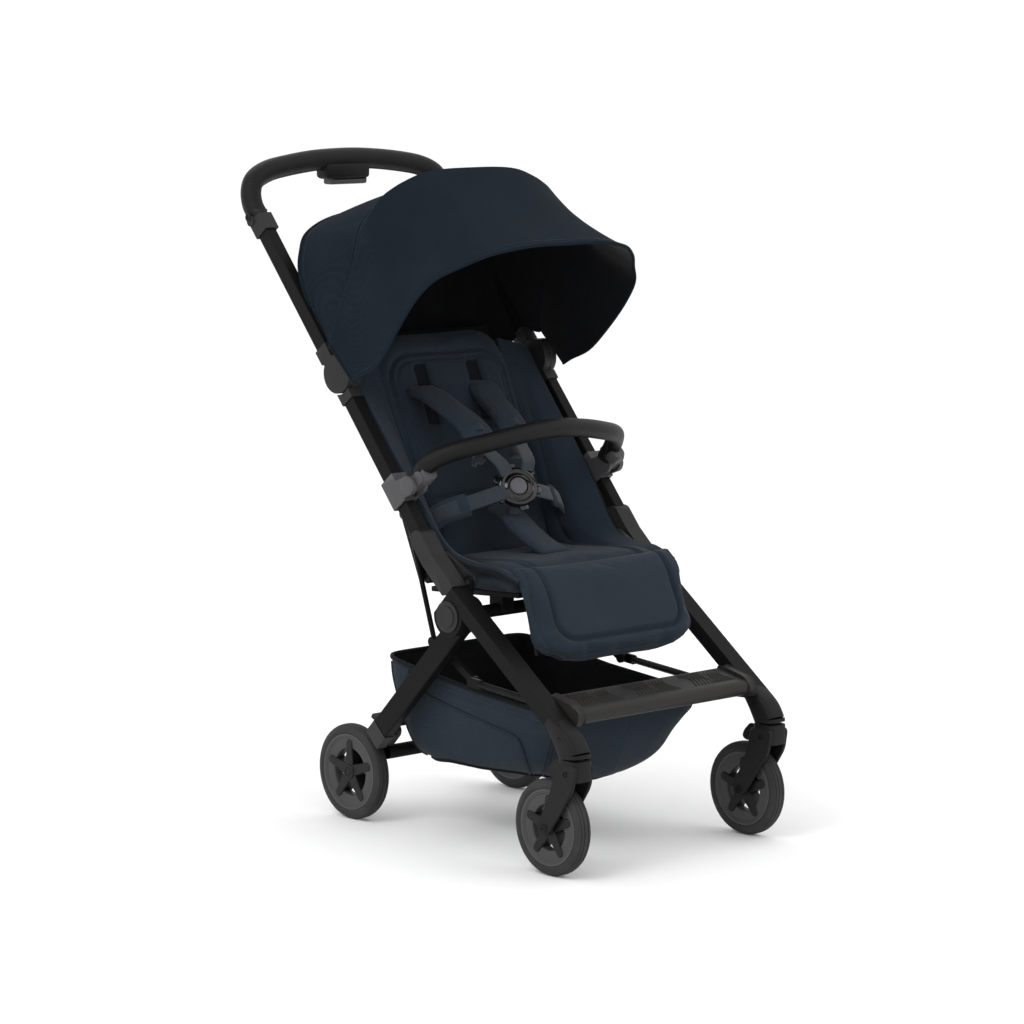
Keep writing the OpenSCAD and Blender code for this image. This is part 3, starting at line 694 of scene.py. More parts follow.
def inflate(ob, cap, voxel=.005, pressure=4.0):
    """Voxel remesh and cloth pressure, with every point's move capped; the result is kept."""
    remesh = ob.modifiers.new("remesh", "REMESH")
    remesh.mode = "VOXEL"
    remesh.voxel_size = voxel
    remesh.use_smooth_shade = True
    keep_mesh(ob)
    rest = coordinates(ob.data)
    cloth = ob.modifiers.new("cloth", "CLOTH")
    cloth.settings.use_pressure = True
    cloth.settings.uniform_pressure_force = pressure
    cloth.settings.effector_weights.gravity = 0.0
    cloth.settings.quality = SIM_QUALITY
    cloth.point_cache.frame_start = 1
    cloth.point_cache.frame_end = SIM_FRAMES
    for number in range(1, SIM_FRAMES + 1):
        SCENE.frame_set(number)
    seen = ob.evaluated_get(bpy.context.evaluated_depsgraph_get())
    shift = coordinates(seen.data) - rest
    ob.modifiers.remove(cloth)
    SCENE.frame_set(1)
    size = np.linalg.norm(shift, axis=1)[:, None]
    move_points(ob.data, rest + shift * np.minimum(1.0, cap / np.maximum(size, 1e-9)))


def coordinates(mesh):
    return np.array([v.co for v in mesh.vertices], float)


def move_points(mesh, points):
    mesh.vertices.foreach_set("co", points.ravel())
    mesh.update()


def keep_mesh(ob):
    """Replaces the object's mesh by what its modifiers make of it."""
    seen = ob.evaluated_get(bpy.context.evaluated_depsgraph_get())
    made = bpy.data.meshes.new_from_object(seen)
    ob.modifiers.clear()
    old = ob.data
    ob.data = made
    bpy.data.meshes.remove(old)


def refine(ob):
    """One level of subdivision, kept in the mesh."""
    sub = ob.modifiers.new("subdivide", "SUBSURF")
    sub.levels = 1
    sub.render_levels = 1
    keep_mesh(ob)
    ob.data.polygons.foreach_set("use_smooth", [True] * len(ob.data.polygons))


class Local:
    """A flat frame for a cushion: u across (X), v along, w out of its face."""

    def __init__(self, origin, along, way=1.0):
        self.origin = np.array([0.0, *origin])
        self.v = np.array([0.0, math.cos(along), math.sin(along)])
        self.w = way * np.cross(SIDE, self.v)

    def out(self, uvw):
        uvw = np.atleast_2d(uvw)
        return self.origin + uvw[:, :1] * SIDE + uvw[:, 1:2] * self.v + uvw[:, 2:] * self.w

    def back(self, points):
        rel = points - self.origin
        return np.stack([rel @ SIDE, rel @ self.v, rel @ self.w], 1)


def pillow(width, v0, v1, low, high, corners=(.5, .5), pull=.012, crown=.3,
           flare=0.0, n=36):
    """A crowned closed form in (u, v, w): sewn edges, sides pulled in between its corners."""
    a = np.linspace(-1.0, 1.0, n)
    u, v = np.meshgrid(a, a)
    lift = ((1 - np.abs(u) ** 6) * (1 - np.abs(v) ** 6)) ** crown
    cut = np.where(v < 0, corners[0], corners[1]) * .5
    shrink_u = (1 - pull * (1 - v ** 2)) * np.sqrt(1 - cut * np.abs(v) ** 8) \
        * (1 + flare * smooth01(.5 - v))
    shrink_v = (1 - pull * (1 - u ** 2)) * np.sqrt(1 - cut * np.abs(u) ** 8)
    mid, half = (v0 + v1) / 2, (v1 - v0) / 2
    uu, vv = u * width / 2 * shrink_u, mid + v * half * shrink_v
    centre = (low + high) / 2
    top = np.stack([uu, vv, centre + (high - centre) * lift], -1)
    bottom = np.stack([uu, vv, centre + (low - centre) * lift], -1)
    points = np.concatenate([top.reshape(-1, 3), bottom.reshape(-1, 3)])
    faces = []
    for q in quads(n, n):
        faces += [q, tuple(n * n + k for k in reversed(q))]
    faces += [(q, p, n * n + p, n * n + q) for p, q in rim_pairs(n, n)]
    return points, faces


def cushion(name, body, local, form, materials, slot, press, bend=None, cap=.006, dark=None):
    """Builds one padded piece: base form, simulation, then seams and channels pressed in."""
    points, faces = form
    shape = Shape()
    shape.add(local.out(points if bend is None else bend(points)), faces)
    ob = shape.make(name, materials, slot, 180.0)
    inflate(ob, cap)
    refine(ob)
    uvw = press(local.back(coordinates(ob.data)))
    move_points(ob.data, local.out(uvw))
    # faces that the mask marks take the second material: for the back cushion that is painted shade in
    # its strap slots
    if dark is not None:
        deep = dark(uvw)
        picks = [int(np.mean(deep[list(f.vertices)]) > .5) for f in ob.data.polygons]
        ob.data.polygons.foreach_set("material_index", picks)
    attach(ob, body)
    return ob


def box_distance(u, v, half, v0, v1, radius):
    """Signed distance to a rounded rectangle in a cushion's face."""
    du = np.abs(u) - (half - radius)
    dv = np.abs(v - (v0 + v1) / 2) - ((v1 - v0) / 2 - radius)
    return (np.hypot(np.maximum(du, 0), np.maximum(dv, 0)) + np.minimum(np.maximum(du, dv), 0)
            - radius)


SEAT_SLOPE = math.atan2(.38 - .392, .026 + .172)
SEAT = Local((-.172, .392), SEAT_SLOPE)
BACK = Local((.05, .392), math.radians(66.3))
CALF = Local((-.18, .418), math.radians(256.0), -1.0)
SLOT_U = .055    # of the two strap slots in the back cushion, from its middle


def press_seat(uvw):
    """A sewn channel and piping round the seat, a slot for the crotch strap, soft waves."""
    u, v, w = uvw.T
    top = smooth01((w - .016) / .01)
    d = box_distance(u, v, .116, -.1, .23, .03)
    groove = .006 * falloff(d, .0042) + .003 * falloff(d + .01, .0032)
    slot = falloff(np.maximum(np.abs(u) - .016, 0) + np.maximum(np.abs(v - .115) - .004, 0), .006)
    waves = .0012 * np.sin(u * 52 + 1.3) * np.sin(v * 38) * top
    w = w - top * (groove + .005 * slot) + waves
    w = np.maximum(w, .0044)
    return np.stack([u, v, w], 1)


def press_back(uvw):
    """A channel and piping round the back, two cross seams and two strap slots."""
    u, v, w = uvw.T
    top = smooth01((w - .012) / .01)
    d = box_distance(u, v, .118, -.05, .352, .045)
    groove = .0065 * falloff(d, .0045) + .0034 * falloff(d + .011, .0032)
    ribs = sum(.003 * falloff(v - at, .006) for at in (.115, .235)) * (np.abs(u) < .1)
    slots = sum(.0065 * falloff(np.maximum(np.abs(u - c) - .009, 0)
                                 + np.maximum(np.abs(v - .285) - .045, 0), .006)
                for c in (-SLOT_U, SLOT_U))
    w = w - top * (groove + ribs + slots) + .0014 * np.sin(u * 44) * np.sin(v * 31 + .6) * top
    return np.stack([u, v, w], 1)


def painted_slot_shade(uvw):
    """One inside the strap slots, where shade is painted with the dark binding cloth."""
    u, v, w = uvw.T
    return ((np.abs(np.abs(u) - SLOT_U) < .014) & (np.abs(v - .285) < .05) & (w > .012)) * 1.0


def press_calf(uvw):
    """A sewn field in the pad, with piping near its rim."""
    u, v, w = uvw.T
    top = smooth01((w - .008 - .1 * np.clip(v, 0, 1)) / .01)
    d = box_distance(u, v, .128, -.06, .103, .034)
    outer = box_distance(u, v, .1625, -.09, .1345, .048)
    groove = .0075 * falloff(d, .004) + .0045 * falloff(outer, .003) \
        + .004 * falloff(outer + .009, .003)
    w = w - top * groove + .0012 * np.sin(u * 40 + .5) * np.sin(v * 45) * top
    return np.stack([u, v, w], 1)


def seat_bend(points):
    """The front edge of the seat rolls down over the board."""
    p = points.copy()
    front = np.clip((.03 - p[:, 1]) / .03, 0, 1)
    p[:, 2] -= .004 * front ** 2
    p[:, 2] += .004 * np.clip((p[:, 1] - .14) / .05, 0, 1)
    return p


seat_cushion = cushion("seat_cushion", "chassis", SEAT,
                       pillow(width=.292, v0=-.018, v1=.206, low=.005, high=.042,
                              corners=(0.0, .4), flare=.17),
                       [FABRIC], "fabric", press_seat, seat_bend)
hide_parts("seat_pad")
# the binding cloth inside the back's strap slots is painted shade
back_cushion = cushion("back_cushion", "backrest", BACK,
                       pillow(width=.29, v0=-.006, v1=.398, low=.01, high=.031),
                       [FABRIC, BINDING], "fabric", press_back, dark=painted_slot_shade)
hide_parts("backrest_pad")


def calf_bend(points):
    """The pad leans forward towards its foot, and its head curls back over the seat's edge."""
    p = points.copy()
    share = np.clip((p[:, 2] - .002) / .026, 0, 1)
    p[:, 2] += .004 * np.cos(p[:, 0] / .16 * 1.2)
    p[:, 2] += .17 * np.clip(p[:, 1], 0, 1) * (.3 + .7 * share)
    p[:, 2] -= 9.0 * np.clip(.024 - p[:, 1], 0, 1) ** 2
    return p


calf_cushion = cushion("calf_cushion", "calf_rest", CALF,
                       pillow(width=.34, v0=-.021, v1=.141, low=.002, high=.028,
                              corners=(0.0, 1.0), pull=.004),
                       [FABRIC], "fabric", press_calf, calf_bend)
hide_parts("calf_pad")

# ---------------- side panels of the liner

TUBE_EDGE = [(.166, -.194, .414), (.17, -.15, .428), (.172, -.095, .431),
             (.178, -.048, .448), (.186, 0.000, .505), (.19, .06, .577),
             (.19, .11, .637), (.19, .15, .685), (.19, .178, .718)]
CUSHION_EDGE = [(.128, -.18, .408), (.13, -.1, .412), (.13, -.03, .41),
                (.124, .03, .402), (.122, .06, .43), (.128, .0916, .5266),
                (.13, .1358, .6274), (.13, .184, .7374)]


def side_panel(side):
    """Padded side panel from the seat tube down to the edge of the seat and back cushions."""
    rows = 56
    outer = curve([(side * x, y, z) for x, y, z in TUBE_EDGE], rows)
    inner = curve([(side * x, y, z) for x, y, z in CUSHION_EDGE], rows)
    grid = []
    for i in range(rows):
        s = i / (rows - 1)
        line = []
        for t in np.linspace(0.0, 1.0, 20):
            p = outer[i] * (1 - t) + inner[i] * t
            bulge = .013 * math.sin(math.pi * t) * math.sin(math.pi * min(1.0, s * 1.1))
            p = p + np.array([-side, -.25, .25]) * bulge
            seam = .006 * math.exp(-((t - .62) / .04) ** 2) \
                + .003 * math.exp(-((t - .5) / .035) ** 2)
            p = p + np.array([side, 0.0, 0.0]) * seam
            line.append(p)
        grid.append(line)
    grid = np.array(grid)
    shape = Shape()
    thick_sheet(shape, grid if side > 0 else grid[::-1], .009, 0, 0)
    tag = "left" if side > 0 else "right"
    path = grid[:, 0]
    shape.cord(curve(path, 50), (.009, .007, 10, 2.0), SIDE, round_ends=.003, pick=1)
    row = grid[:, 12]
    face = np.array([-side, -.2, .2])
    stitches(shape, row + .0006 * face, face, pick=2)
    ob = shape.make("side_panel_" + tag, [FABRIC, BINDING, THREAD], "fabric", 70.0)
    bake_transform(ob)


for _, sign in SIDES:
    side_panel(sign)

# ---------------- harness

BUCKLE = np.array([0.0, -.014, .528])
BUCKLE_TILT = math.radians(62.0)
BUCKLE_UP = np.array([0.0, math.cos(BUCKLE_TILT), math.sin(BUCKLE_TILT)])
BUCKLE_TURN = math.radians(22.0)
BUCKLE_SIDE = SIDE * math.cos(BUCKLE_TURN) + np.cross(SIDE, BUCKLE_UP) * math.sin(BUCKLE_TURN)
BUCKLE_OUT = np.cross(BUCKLE_SIDE, BUCKLE_UP)
BUCKLE_SCALE = 1.12
WAIST_FACE = (0, .47, .88)
# width and thickness of pads and straps
SHOULDER_PAD = (.058, .015)
CROTCH_PAD = (.056, .013)
WEB = (.025, .0024)
WAIST_WEB = (.024, .0024)
TAIL = (.021, .0022)
WEB_INSET = .0025       # of the stitches from a strap's edge
PAD_INSET = .007


def strap(shape, points, width, thick, side=SIDE, pick=0, count=28, swell=None, power=3.4):
    """A flat band along a smooth path through the points; returns the path."""
    path = curve(points, count)
    shape.cord(path, (width, thick, 14, power), side, round_ends=thick * .5, swell=swell,
               pick=pick)
    return path


def edge_stitches(shape, path, width, thick, pick, side, inset):
    """A row of stitches along both edges of a strap."""
    t = tangents(path)
    for way in (-1, 1):
        across = np.array([unit(np.array(side) - np.dot(side, k) * k) for k in t])
        up = np.cross(t, across)
        stitches(shape, path + across * way * (width / 2 - inset) + up * thick * .47, up,
                 pick=pick)


def sewn(shape, points, width, thick, inset, side=SIDE, **more):
    """A strap or pad with a row of stitches along each edge."""
    path = strap(shape, points, width, thick, side, **more)
    edge_stitches(shape, path, width, thick, 2, side, inset)


def harness():
    """Shoulder pads, waist pads and crotch pad, with their straps, loops and loose tails."""
    shoulders = Shape()
    for x, shift in ((-.06, 0.0), (.054, .034)):
        pad = [(x * 1.15, .134 + shift * .2, .672), (x * 1.1, .108 + shift * .6, .666),
               (x * 1.04, .07 + shift, .648), (x * .95, .034 + shift, .628),
               (x * .9, .01 + shift, .606)]
        swell = 1.0 + .05 * np.cos(np.linspace(0.0, 2 * math.pi, 28))
        sewn(shoulders, pad, *SHOULDER_PAD, PAD_INSET, power=3.0, swell=swell)
        web = [(x * .9, .02 + shift, .611), (x * .75, .004 + shift * .5, .588),
               (x * .5, -.01, .568), (x * .36, -.014, .552)]
        sewn(shoulders, web, *WEB, WEB_INSET, pick=1)
        tail = [(x * .9, .018 + shift, .606), (x * .9, .016 + shift * .8, .584),
                (x * .86, .022 + shift * .6, .566), (x * .8, .014 + shift * .4, .574)]
        strap(shoulders, tail, *TAIL, pick=1)
        end = curve(pad, 41)[36]
        loop = [end + np.array([-.028, .003, 0.0]), end + np.array([0, -.005, .0095]),
                end + np.array([.028, .003, 0.0])]
        strap(shoulders, loop, .015, .0022, side=(0, -.7, -.7), count=12)
    ob = shoulders.make("harness_shoulders", [PAD_CLOTH, WEBBING, THREAD], "harness_pad", 70.0)
    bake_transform(ob)
    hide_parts("shoulder_pads")

    waist = Shape()
    for side in (-1, 1):
        web = [(side * .137, .03, .487), (side * .115, .014, .5),
               (side * .08, -.001, .511), (side * .045, -.01, .52),
               (side * .024, -.014, .524)]
        sewn(waist, web, *WAIST_WEB, WEB_INSET, WAIST_FACE, pick=1)
        pad = [(side * .138, .034, .484), (side * .112, .017, .499),
               (side * .088, .004, .507)]
        strap(waist, pad, .038, .0095, WAIST_FACE, power=2.8)
    ob = waist.make("harness_waist", [PAD_CLOTH, WEBBING, THREAD], "harness_pad", 70.0)
    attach(ob, "seat_frame")
    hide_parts("waist_pads")

    crotch = Shape()
    pad = [(0.0, .022, .494), (0.0, -.004, .482), (0.0, -.034, .463),
           (0.0, -.068, .447), (0.0, -.1, .437)]
    sewn(crotch, pad, *CROTCH_PAD, PAD_INSET, power=3.0)
    strap(crotch, [(0.0, -.01, .488), (0.0, -.01, .5), (0.0, -.013, .513)],
          .025, .0026, pick=1, count=12)
    ob = crotch.make("harness_crotch", [PAD_CLOTH, WEBBING, THREAD], "harness_pad", 70.0)
    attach(ob, "seat_frame")
    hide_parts("crotch_pad")


harness()


def buckle():
    """Round buckle: domed ring, inner well, side tabs and a raised button."""
    def disc(profile, count=64):
        points, m = [], len(profile)
        for k in range(count):
            a = 2 * math.pi * k / count
            spoke = (BUCKLE_SIDE * math.cos(a) + BUCKLE_UP * math.sin(a)) * BUCKLE_SCALE
            points += [BUCKLE + spoke * r + BUCKLE_OUT * h for r, h in profile]
        faces = [(a, d, c, b) for a, b, c, d in quads(count, m, True)]
        faces.append(tuple(k * m for k in reversed(range(count))))
        faces.append(tuple(k * m + m - 1 for k in range(count)))
        return points, faces

    body = Shape()
    body.add(*disc([(.0225, -.006), (.0275, -.005), (.0292, -.001), (.029, .003),
                    (.027, .0065), (.024, .0082), (.0222, .008), (.021, .0066),
                    (.0196, .0066), (.0186, .0076), (.016, .0096), (.0142, .01),
                    (.0134, .0088), (.0128, .0074)]))
    for angle in (35, 90, 145, 200, 270, 340):
        a = math.radians(angle)
        spoke = BUCKLE_SIDE * math.cos(a) + BUCKLE_UP * math.sin(a)
        across = -BUCKLE_SIDE * math.sin(a) + BUCKLE_UP * math.cos(a)
        path = [BUCKLE + spoke * BUCKLE_SCALE * r + BUCKLE_OUT * .0005 for r in (.024, .029, .0335)]
        body.cord(path, (.015, .006, 14, 4.0), across, round_ends=.0015)
    ob = body.make("buckle_shell", [GLOSS], "gloss_plastic", 50.0)
    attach(ob, "seat_frame")
    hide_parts("buckle")
    cap = Shape()
    cap.add(*disc([(.0118, .004), (.0122, .008), (.012, .0098), (.0108, .0109),
                   (.008, .0114), (.004, .0116)]))
    ob = cap.make("buckle_cap", [BUTTON], "grey_plastic", 50.0)
    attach(ob, "buckle_button")
    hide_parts("buckle_button")


buckle()

# ---------------- basket

BASKET_RINGS = [
    # half width, rear y, front y, rear z, front z, corner power
    (.149, .131, -.27, .264, .223, 13.0),
    (.1495, .127, -.267, .23, .2, 12.0),
    (.146, .119, -.261, .19, .174, 10.0),
    (.141, .107, -.248, .145, .141, 8.0),
    (.132, .093, -.228, .118, .112, 7.0),
    (.113, .074, -.2, .106, .0985, 6.0),
    (.078, .043, -.15, .1, .0965, 4.0),
    (.04, 0.0000, -.098, .098, .096, 3.0),
    (.006, -.044, -.052, .097, .097, 2.0),
]


def basket():
    """A cloth bag hung from the rails: lofted rings that sag, with black lining and piping."""
    cols = 121
    rings = []
    for depth, (half, rear, front, z_rear, z_front, power) in enumerate(BASKET_RINGS):
        a = np.linspace(-math.pi / 2, 1.5 * math.pi, cols)
        c, s = np.cos(a), np.sin(a)
        x = half * np.sign(c) * np.abs(c) ** (2 / power)
        along = np.sign(s) * np.abs(s) ** (2 / power)
        y = (rear + front) / 2 + (rear - front) / 2 * along
        share = (along + 1) / 2
        z = z_front * (1 - share) + z_rear * share
        sag = .006 * (1 - along ** 2) * (np.abs(c) > .2) if depth == 0 else 0.0
        wave = .0022 * math.sin(.5 * depth) * np.sin(a * 9 + depth * .7)
        rise = .036 * (depth > 1) * np.abs(x / .137) ** 2 * (1 - share) ** 2
        sag = sag - rise * (.45 if depth == 2 else 1.0)
        rings.append(np.stack([x * (1 + wave), y, z - sag + wave * .6], 1))
    keys = np.array(rings)
    fine = np.array([curve(keys[:, j], 40) for j in range(cols)]).transpose(1, 0, 2)
    shape = Shape()
    thick_sheet(shape, fine[:, ::-1], BAG_CLOTH)
    normals = -grid_normals(fine)
    shape.cord(fine[0][:-1], (.0075, .006, 10, 2.2), UP, closed=True, pick=2)
    base = 21             # the row where the walls meet the floor
    shape.cord(fine[base][:-1] + normals[base][:-1] * .001, (.0052, .0044, 10, 2.2), UP,
               closed=True, pick=2)
    # column of each seam and how far it drifts sideways on its way down
    for col, drift in ((15, 0), (45, 0), (28, -10), (88, 10), (75, 0), (105, 0)):
        rows = np.arange(1, base)
        at = col + drift * smooth01((rows - 1) / (base - 2))
        low = np.floor(at).astype(int)
        part = (at - low)[:, None]
        facing = normals[rows, low]
        seam = fine[rows, low] * (1 - part) + fine[rows, low + 1] * part
        shape.cord(curve(seam + facing * .0008, 30), (.0036, .0024, 8, 2.0), SIDE,
                   round_ends=.001)
        beside = np.cross(facing, tangents(seam))
        for side in (-1, 1):
            stitches(shape, seam + beside * side * .0055 + facing * .0004, facing, pick=3)
    for row in (2, base - 2):
        stitches(shape, fine[row] + normals[row] * .0004, normals[row], pick=3)
    ob = shape.make("basket_bag", [FABRIC, LINING, BINDING, THREAD], "fabric", 60.0)
    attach(ob, "chassis")
    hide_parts("basket")


basket()

# ---------------- wheels

REAR_AXLE = (.178, .0755)
FRONT_AXLE = (-.316, .0726)
# distance from the middle, axle (y, z), radius of the rim, radius of the tyre
WHEELS = {"rear": (.1715, REAR_AXLE, .0605, .0755),
          "front": (CASTOR_X, FRONT_AXLE, .0576, .0726)}


def star_outline(tip, width_hub, width_tip, inner):
    """Five arms with round tips about the hub, as a closed outline."""
    points = []
    for k in range(5):
        a = math.radians(90 + 72 * k)
        d = np.array([math.cos(a), math.sin(a)])
        p = np.array([-d[1], d[0]])
        valley = math.radians(90 + 72 * k - 36)
        points.append(inner * np.array([math.cos(valley), math.sin(valley)]))
        points.append(d * (inner + .006) - p * width_hub / 2)
        points.append(d * (tip * .62) - p * (width_hub * .45 + width_tip * .55) / 2 * .92)
        for b in np.linspace(-90, 90, 9):
            t = math.radians(b)
            points.append(d * (tip - width_tip / 2 + width_tip / 2 * math.cos(t))
                          + p * width_tip / 2 * math.sin(t))
        points.append(d * (tip * .62) + p * (width_hub * .45 + width_tip * .55) / 2 * .92)
        points.append(d * (inner + .006) + p * width_hub / 2)
    return points


def wheel(name, body, x_mid, centre, ring, replaced):
    """Grey rim ring, black five-armed star that laps over it, and a hub cap on each face."""
    shape = Shape()
    r0, r1 = ring - .0235, ring - .0003
    half = [(.0114, r1), (.0114, r1 - .003), (.0104, r1 - .0042), (.0104, r1 - .006),
            (.0092, r1 - .0072), (.0088, r0 + .0035), (.008, r0 + .0008), (.0066, r0)]
    profile = [(-x, r) for x, r in half] + half[::-1]
    lathe(shape, [(x_mid + x, r) for x, r in profile], centre, 0, 96)
    star = star_outline(tip=ring - .0088, width_hub=.0175, width_tip=.0138, inner=.015)
    prism(shape, star, x_mid - .0106, x_mid + .0106, centre, 1)
    for way in (-1, 1):
        cap = [(.009, 0.0), (.009, .0118), (.0112, .0122), (.0121, .0112),
               (.0122, .0078), (.0114, .0072), (.0116, .0058), (.0123, .0048),
               (.0123, 0.0)]
        turned(shape, cap, x_mid, way, centre, 1)
    ob = shape.make(name, [RIM, STAR], "rim", 35.0)
    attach(ob, body)
    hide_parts(replaced)


def tyre(name, body, x_mid, centre, ring, radius, replaced):
    """A solid tyre: round tread with two grooves, a shoulder line and a bead on each side."""
    half = [(0.0000, radius), (.003, radius), (.0034, radius - .0012),
            (.0042, radius - .0012), (.0046, radius - .0002), (.0078, radius - .0012),
            (.0082, radius - .0024), (.009, radius - .0027), (.0094, radius - .002),
            (.0114, radius - .005), (.0121, radius - .0088), (.0124, radius - .011),
            (.0118, radius - .0116), (.0118, ring + .002), (.0108, ring + .0002)]
    profile = [(-x, r) for x, r in half[::-1]] + half[1:]
    shape = Shape()
    lathe(shape, [(x_mid + x, r) for x, r in profile[::-1]], centre, 0, 120)
    ob = shape.make(name, [TREAD], "tyre", 32.0)
    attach(ob, body)
    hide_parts(replaced)


for tag, sign in SIDES:
    for end, (track, axle, ring, _) in WHEELS.items():
        wheel(end + "_star_" + tag, end + "_wheel_" + tag, sign * track, axle, ring,
              end + "_rim_" + tag)
    for end, (track, axle, ring, radius) in WHEELS.items():
        tyre(end + "_tread_" + tag, end + "_wheel_" + tag, sign * track, axle, ring, radius,
             end + "_tyre_" + tag)

# ---------------- small details


def mirrored(half):
    """The path through points on the +X side, continued on the other side of the middle."""
    return [(-x, y, z) for x, y, z in half] + [p for p in reversed(half) if p[0] > 0]


def leather_bar(name, body, half, radius, replaced):
    """A bar in a sewn leather sleeve: its seam runs along the inside of the bow."""
    path = curve(mirrored(half), 150)
    t = tangents(path)
    middle = path.mean(0)
    inwards = []
    for p, way in zip(path, t):
        to_middle = middle - p
        inwards.append(unit(to_middle - np.dot(to_middle, way) * way))
    inwards = np.array(inwards)
    swell = 1.0 + .006 * np.sin(np.linspace(0.0, 38.0, len(path)))
    shape = Shape()
    shape.cord(path, (2 * radius, 2 * radius, 32, 2.0), inwards, swell=swell)
    seam = path + inwards * radius * .985
    shape.cord(seam, (.003, .0016, 8, 2.0), inwards, swell=swell)
    for side in (-1, 1):
        across = np.cross(t, inwards)
        lift = np.array([unit(a) for a in inwards * .95 + side * across * .26])
        stitches(shape, path + lift * radius * 1.004, lift, .0052, .0034, .0009, 1)
    for end, way in ((3, 1), (-4, -1)):
        ring = path[end]
        around = [ring + (inwards[end] * math.cos(a) + np.cross(t[end], inwards[end]) * math.sin(a))
                  * radius for a in np.linspace(0, 2 * math.pi, 40, endpoint=False)]
        shape.cord(around, (.003, .0022, 8, 2.0), t[end] * way, closed=True)
    ob = shape.make(name, [LEATHER, LEATHER_THREAD], "leather", 60.0)
    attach(ob, body)
    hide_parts(*replaced)


HANDLE_HALF = [(.199, .371, .926), (.199, .372, .938), (.2005, .384, .957), (.198, .391, .978),
               (.187, .395, .996), (.16, .398, 1.0085), (.12, .4, 1.016),
               (.06, .402, 1.0225), (.0, .4025, 1.0245)]
BUMPER_HALF = [(.1975, -.008, .558), (.1955, -.023, .577), (.184, -.041, .5925),
               (.16, -.064, .6045), (.12, -.082, .6135), (.06, -.095, .6235), (.0, -.1, .628)]
HANDLE_RADIUS = .0165
BUMPER_RADIUS = .0145
leather_bar("handle_sleeve", "handle", HANDLE_HALF, HANDLE_RADIUS, ["handle_grip", "handle_core"])
leather_bar("bumper_sleeve", "bumper", BUMPER_HALF, BUMPER_RADIUS, ["bumper_bar"])


def knuckle(tag, side):
    """The socket at the foot of a front leg that turns down over the castor."""
    x = side * CASTOR_X
    path = curve(in_plane([(-.318, .2326), (-.33, .2232), (-.342, .2125), (-.352, .202),
                           (-.3595, .191), (-.363, .184)], x), 24)
    t = np.linspace(0.0, 1.0, 24)
    wide = (.0315 + .0045 * smooth01(t * 1.4)) / .036
    deep = (.0235 + .0165 * smooth01(t * 1.15)) / .04
    shape = Shape()
    shape.cord(path, (.036, .04, 40, 4.2), SIDE, swell=np.stack([wide, deep], 1),
               round_ends=.0006)
    collar = curve(in_plane([(-.3625, .1875), (-.363, .1822)], x), 6)
    shape.cord(collar, (.0368, .0412, 40, 4.2), SIDE, round_ends=.0006)
    for way in (-1, 1):
        screw = [(.015, 0.0), (.015, .0056), (.0172, .0054), (.0178, .0046),
                 (.0178, .003), (.0166, .0026), (.0166, 0.0)]
        turned(shape, screw, x, way, (-.347, .2085), 1, 28)
    ob = shape.make("knuckle_socket_" + tag, [FORK, COAT], "fitting", 40.0)
    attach(ob, "chassis")
    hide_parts("knuckle_" + tag)


def fork(tag, side):
    """Castor fork: a deep block under the leg, a broad tapering arm on each side, a lock fin."""
    x = side * CASTOR_X
    shape = Shape()
    block = curve(in_plane([(-.363, .18), (-.3625, .166), (-.361, .1515)], x), 12)
    grow = np.stack([np.linspace(.97, 1.05, 12), np.linspace(1.0, 1.1, 12)], 1)
    shape.cord(block, (.0372, .041, 40, 4.6), SIDE, swell=grow, round_ends=.0015)
    neck = [(-.363, .1852), (-.363, .177)]
    shape.cord(in_plane(neck, x), (.03, .03, 32, 2.0), SIDE, pick=1)
    arm = rounded([(-.3845, .174), (-.3405, .174), (-.337, .156), (-.326, .12),
                   (-.303, .08), (-.304, .064), (-.317, .0605), (-.329, .068),
                   (-.356, .105), (-.379, .14)], .01, 6)
    for way in (-1, 1):
        inner, outer = x + way * .0139, x + way * .0198
        prism(shape, arm[::-1], inner, outer, (0.0, 0.0), 0, .0016)
        bolt = [(.018, 0.0), (.018, .0072), (.0204, .007), (.0212, .0062),
                (.0212, .004), (.0202, .0034), (.0202, 0.0)]
        turned(shape, bolt, x, way, FRONT_AXLE, 1, 32)
    fin = rounded([(-.34, .176), (-.34, .156), (-.323, .15), (-.314, .1545),
                   (-.318, .164), (-.33, .176)], .004, 5)
    prism(shape, fin[::-1], x - .0085, x + .0085, (0.0, 0.0), 0, .0014)
    hole = [(.019, .004), (.02, .0046), (.0207, .0042), (.0207, .003),
            (.0196, .0026), (.0196, 0.0)]
    for way in (-1, 1):
        turned(shape, hole, x, way, (-.3625, .16), 1, 24)
    ob = shape.make("castor_arm_" + tag, [FORK, COAT], "fitting", 40.0)
    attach(ob, "castor_" + tag)
    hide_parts("castor_fork_" + tag)


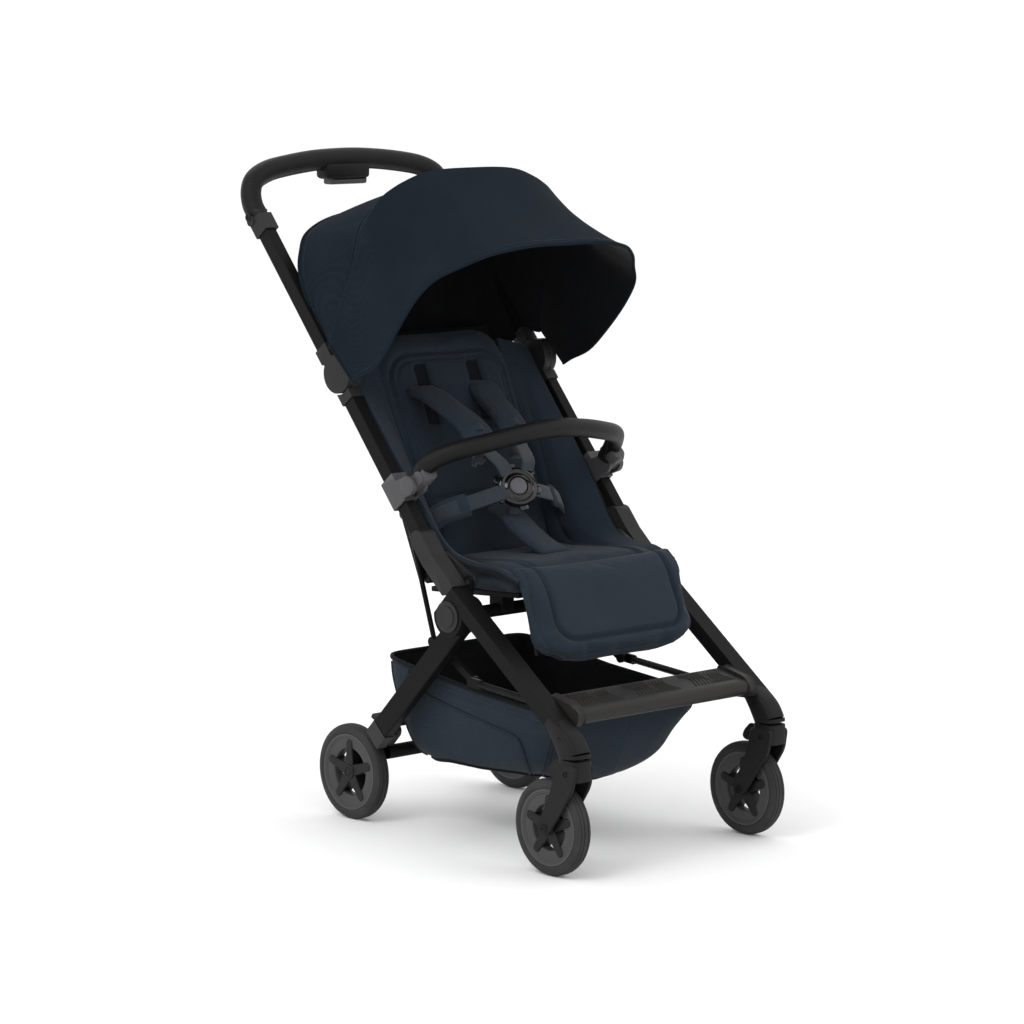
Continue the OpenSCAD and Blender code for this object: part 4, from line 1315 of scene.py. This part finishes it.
def footrest():
    """A shallow step between the front legs: rounded nose, ribbed zones and an end clamp each side."""
    shape = Shape()
    nose = [(-.337 + .0125 * math.cos(a), .2365 + .0125 * math.sin(a))
            for a in np.radians(np.linspace(112, 292, 14))]
    outline = ([(-.284, .2605)] + nose + [(-.31, .227), (-.297, .231), (-.284, .244)])
    o = rounded(outline, .003, 3)
    prism(shape, o[::-1], -.1865, .1865, (0.0, 0.0), 0, .001)
    top_a, top_b = np.array([-.3395, .249]), np.array([-.286, .2608])
    for zone in (-.118, 0.0, .118):
        for k in range(13):
            at = zone - .042 + .007 * k
            slant = .01 * (1 if k < 6 else -1 if k > 6 else 0)
            ends = [(at, *(top_a * .86 + top_b * .14)), (at + slant, *(top_a * .45 + top_b * .55)),
                    (at, *(top_a * .1 + top_b * .9))]
            shape.cord(curve(ends, 7), (.0026, .002, 8, 2.0), SIDE, round_ends=.001)
    for side in (-1, 1):
        grown = rounded([(-.283, .264), (-.338, .2525), (-.352, .237), (-.346, .223),
                         (-.318, .2215), (-.295, .227), (-.283, .24)], .008, 6)
        prism(shape, grown[::-1], side * .172, side * .1885, (0.0, 0.0), 0, .0018)
        screw = [(0.0, 0.0), (0.0, .0048), (.0016, .0046), (.0022, .0036), (.0022, 0.0)]
        turned(shape, screw, side * .1722, -side, (-.318, .24), 1, 20)
    ob = shape.make("footrest_step", [WARM, FITTING], "grey_plastic", 40.0)
    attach(ob, "chassis")
    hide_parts("footrest_bar")


def along_x(shape, x0, x1, y, z, deep, tall, pick, ends=(.8, .8), power=4.5):
    """A rounded block lying along X whose ends narrow a little."""
    xs = np.array([x0, x0 + .0015, x0 + .006, x1 - .006, x1 - .0015, x1])
    swell = [ends[0], ends[0] * .35 + .65, 1.0, 1.0, ends[1] * .35 + .65, ends[1]]
    path = [(x, y, z) for x in xs]
    shape.cord(path, (deep, tall, 32, power), (0.0, 1.0, 0.0), swell=swell, pick=pick)


def trigger():
    """The release under the handle: a housing with slanted ends, its lever and the side slider."""
    y, z = .4025, 1.005
    housing = Shape()
    along_x(housing, -.046, .045, y - .001, z, .03, .027, 0, (.62, .8))
    along_x(housing, -.03, .04, y - .001, z - .0125, .024, .006, 1, (.9, .9))
    ob = housing.make("trigger_block", [FORK, COAT], "fitting", 40.0)
    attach(ob, "handle")
    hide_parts("trigger_housing")
    lever = Shape()
    along_x(lever, -.034, .0415, y - .0015, z - .0165, .021, .012, 0, (.8, .86))
    for k in range(5):
        x = -.016 + .01 * k
        rib = [(x, y - .0115, z - .0165 + h) for h in (-.003, 0.0, .003)]
        lever.cord(rib, (.0022, .0016, 8, 2.0), SIDE, round_ends=.0008)
    ob = lever.make("trigger_bar", [GREY_PLASTIC], "grey_plastic", 40.0)
    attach(ob, "trigger")
    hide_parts("trigger_lever")
    slider = Shape()
    along_x(slider, .04, .0485, y - .001, z - .001, .01, .006, 0)
    ob = slider.make("slider_knob", [GREY_PLASTIC], "grey_plastic", 40.0)
    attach(ob, "lock_slider")
    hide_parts("fold_slider")


def covers():
    """Round covers and bolt heads on the bumper clamps and on the collars of the handle."""
    disc = [(0.0, 0.0), (0.0, .015), (.0028, .015), (.004, .0138), (.0046, .011),
            (.0046, 0.0)]
    bolt = [(0.0, 0.0), (0.0, .0066), (.0018, .0066), (.0026, .0058), (.0026, .0036),
            (.0014, .003), (.0014, 0.0)]
    clamp, collar = Shape(), Shape()
    for side in (-1, 1):
        turned(clamp, disc, side * FITTING_FACE, side, (-.008, .549))
        turned(collar, bolt, side * FITTING_FACE, side, (.372, .938))
    ob = clamp.make("clamp_covers", [GREY_PLASTIC], "grey_plastic", 40.0)
    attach(ob, "seat_frame")
    ob = collar.make("collar_bolts", [FORK], "fitting", 40.0)
    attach(ob, "handle")


for tag, sign in SIDES:
    knuckle(tag, sign)
    fork(tag, sign)
footrest()
trigger()
covers()
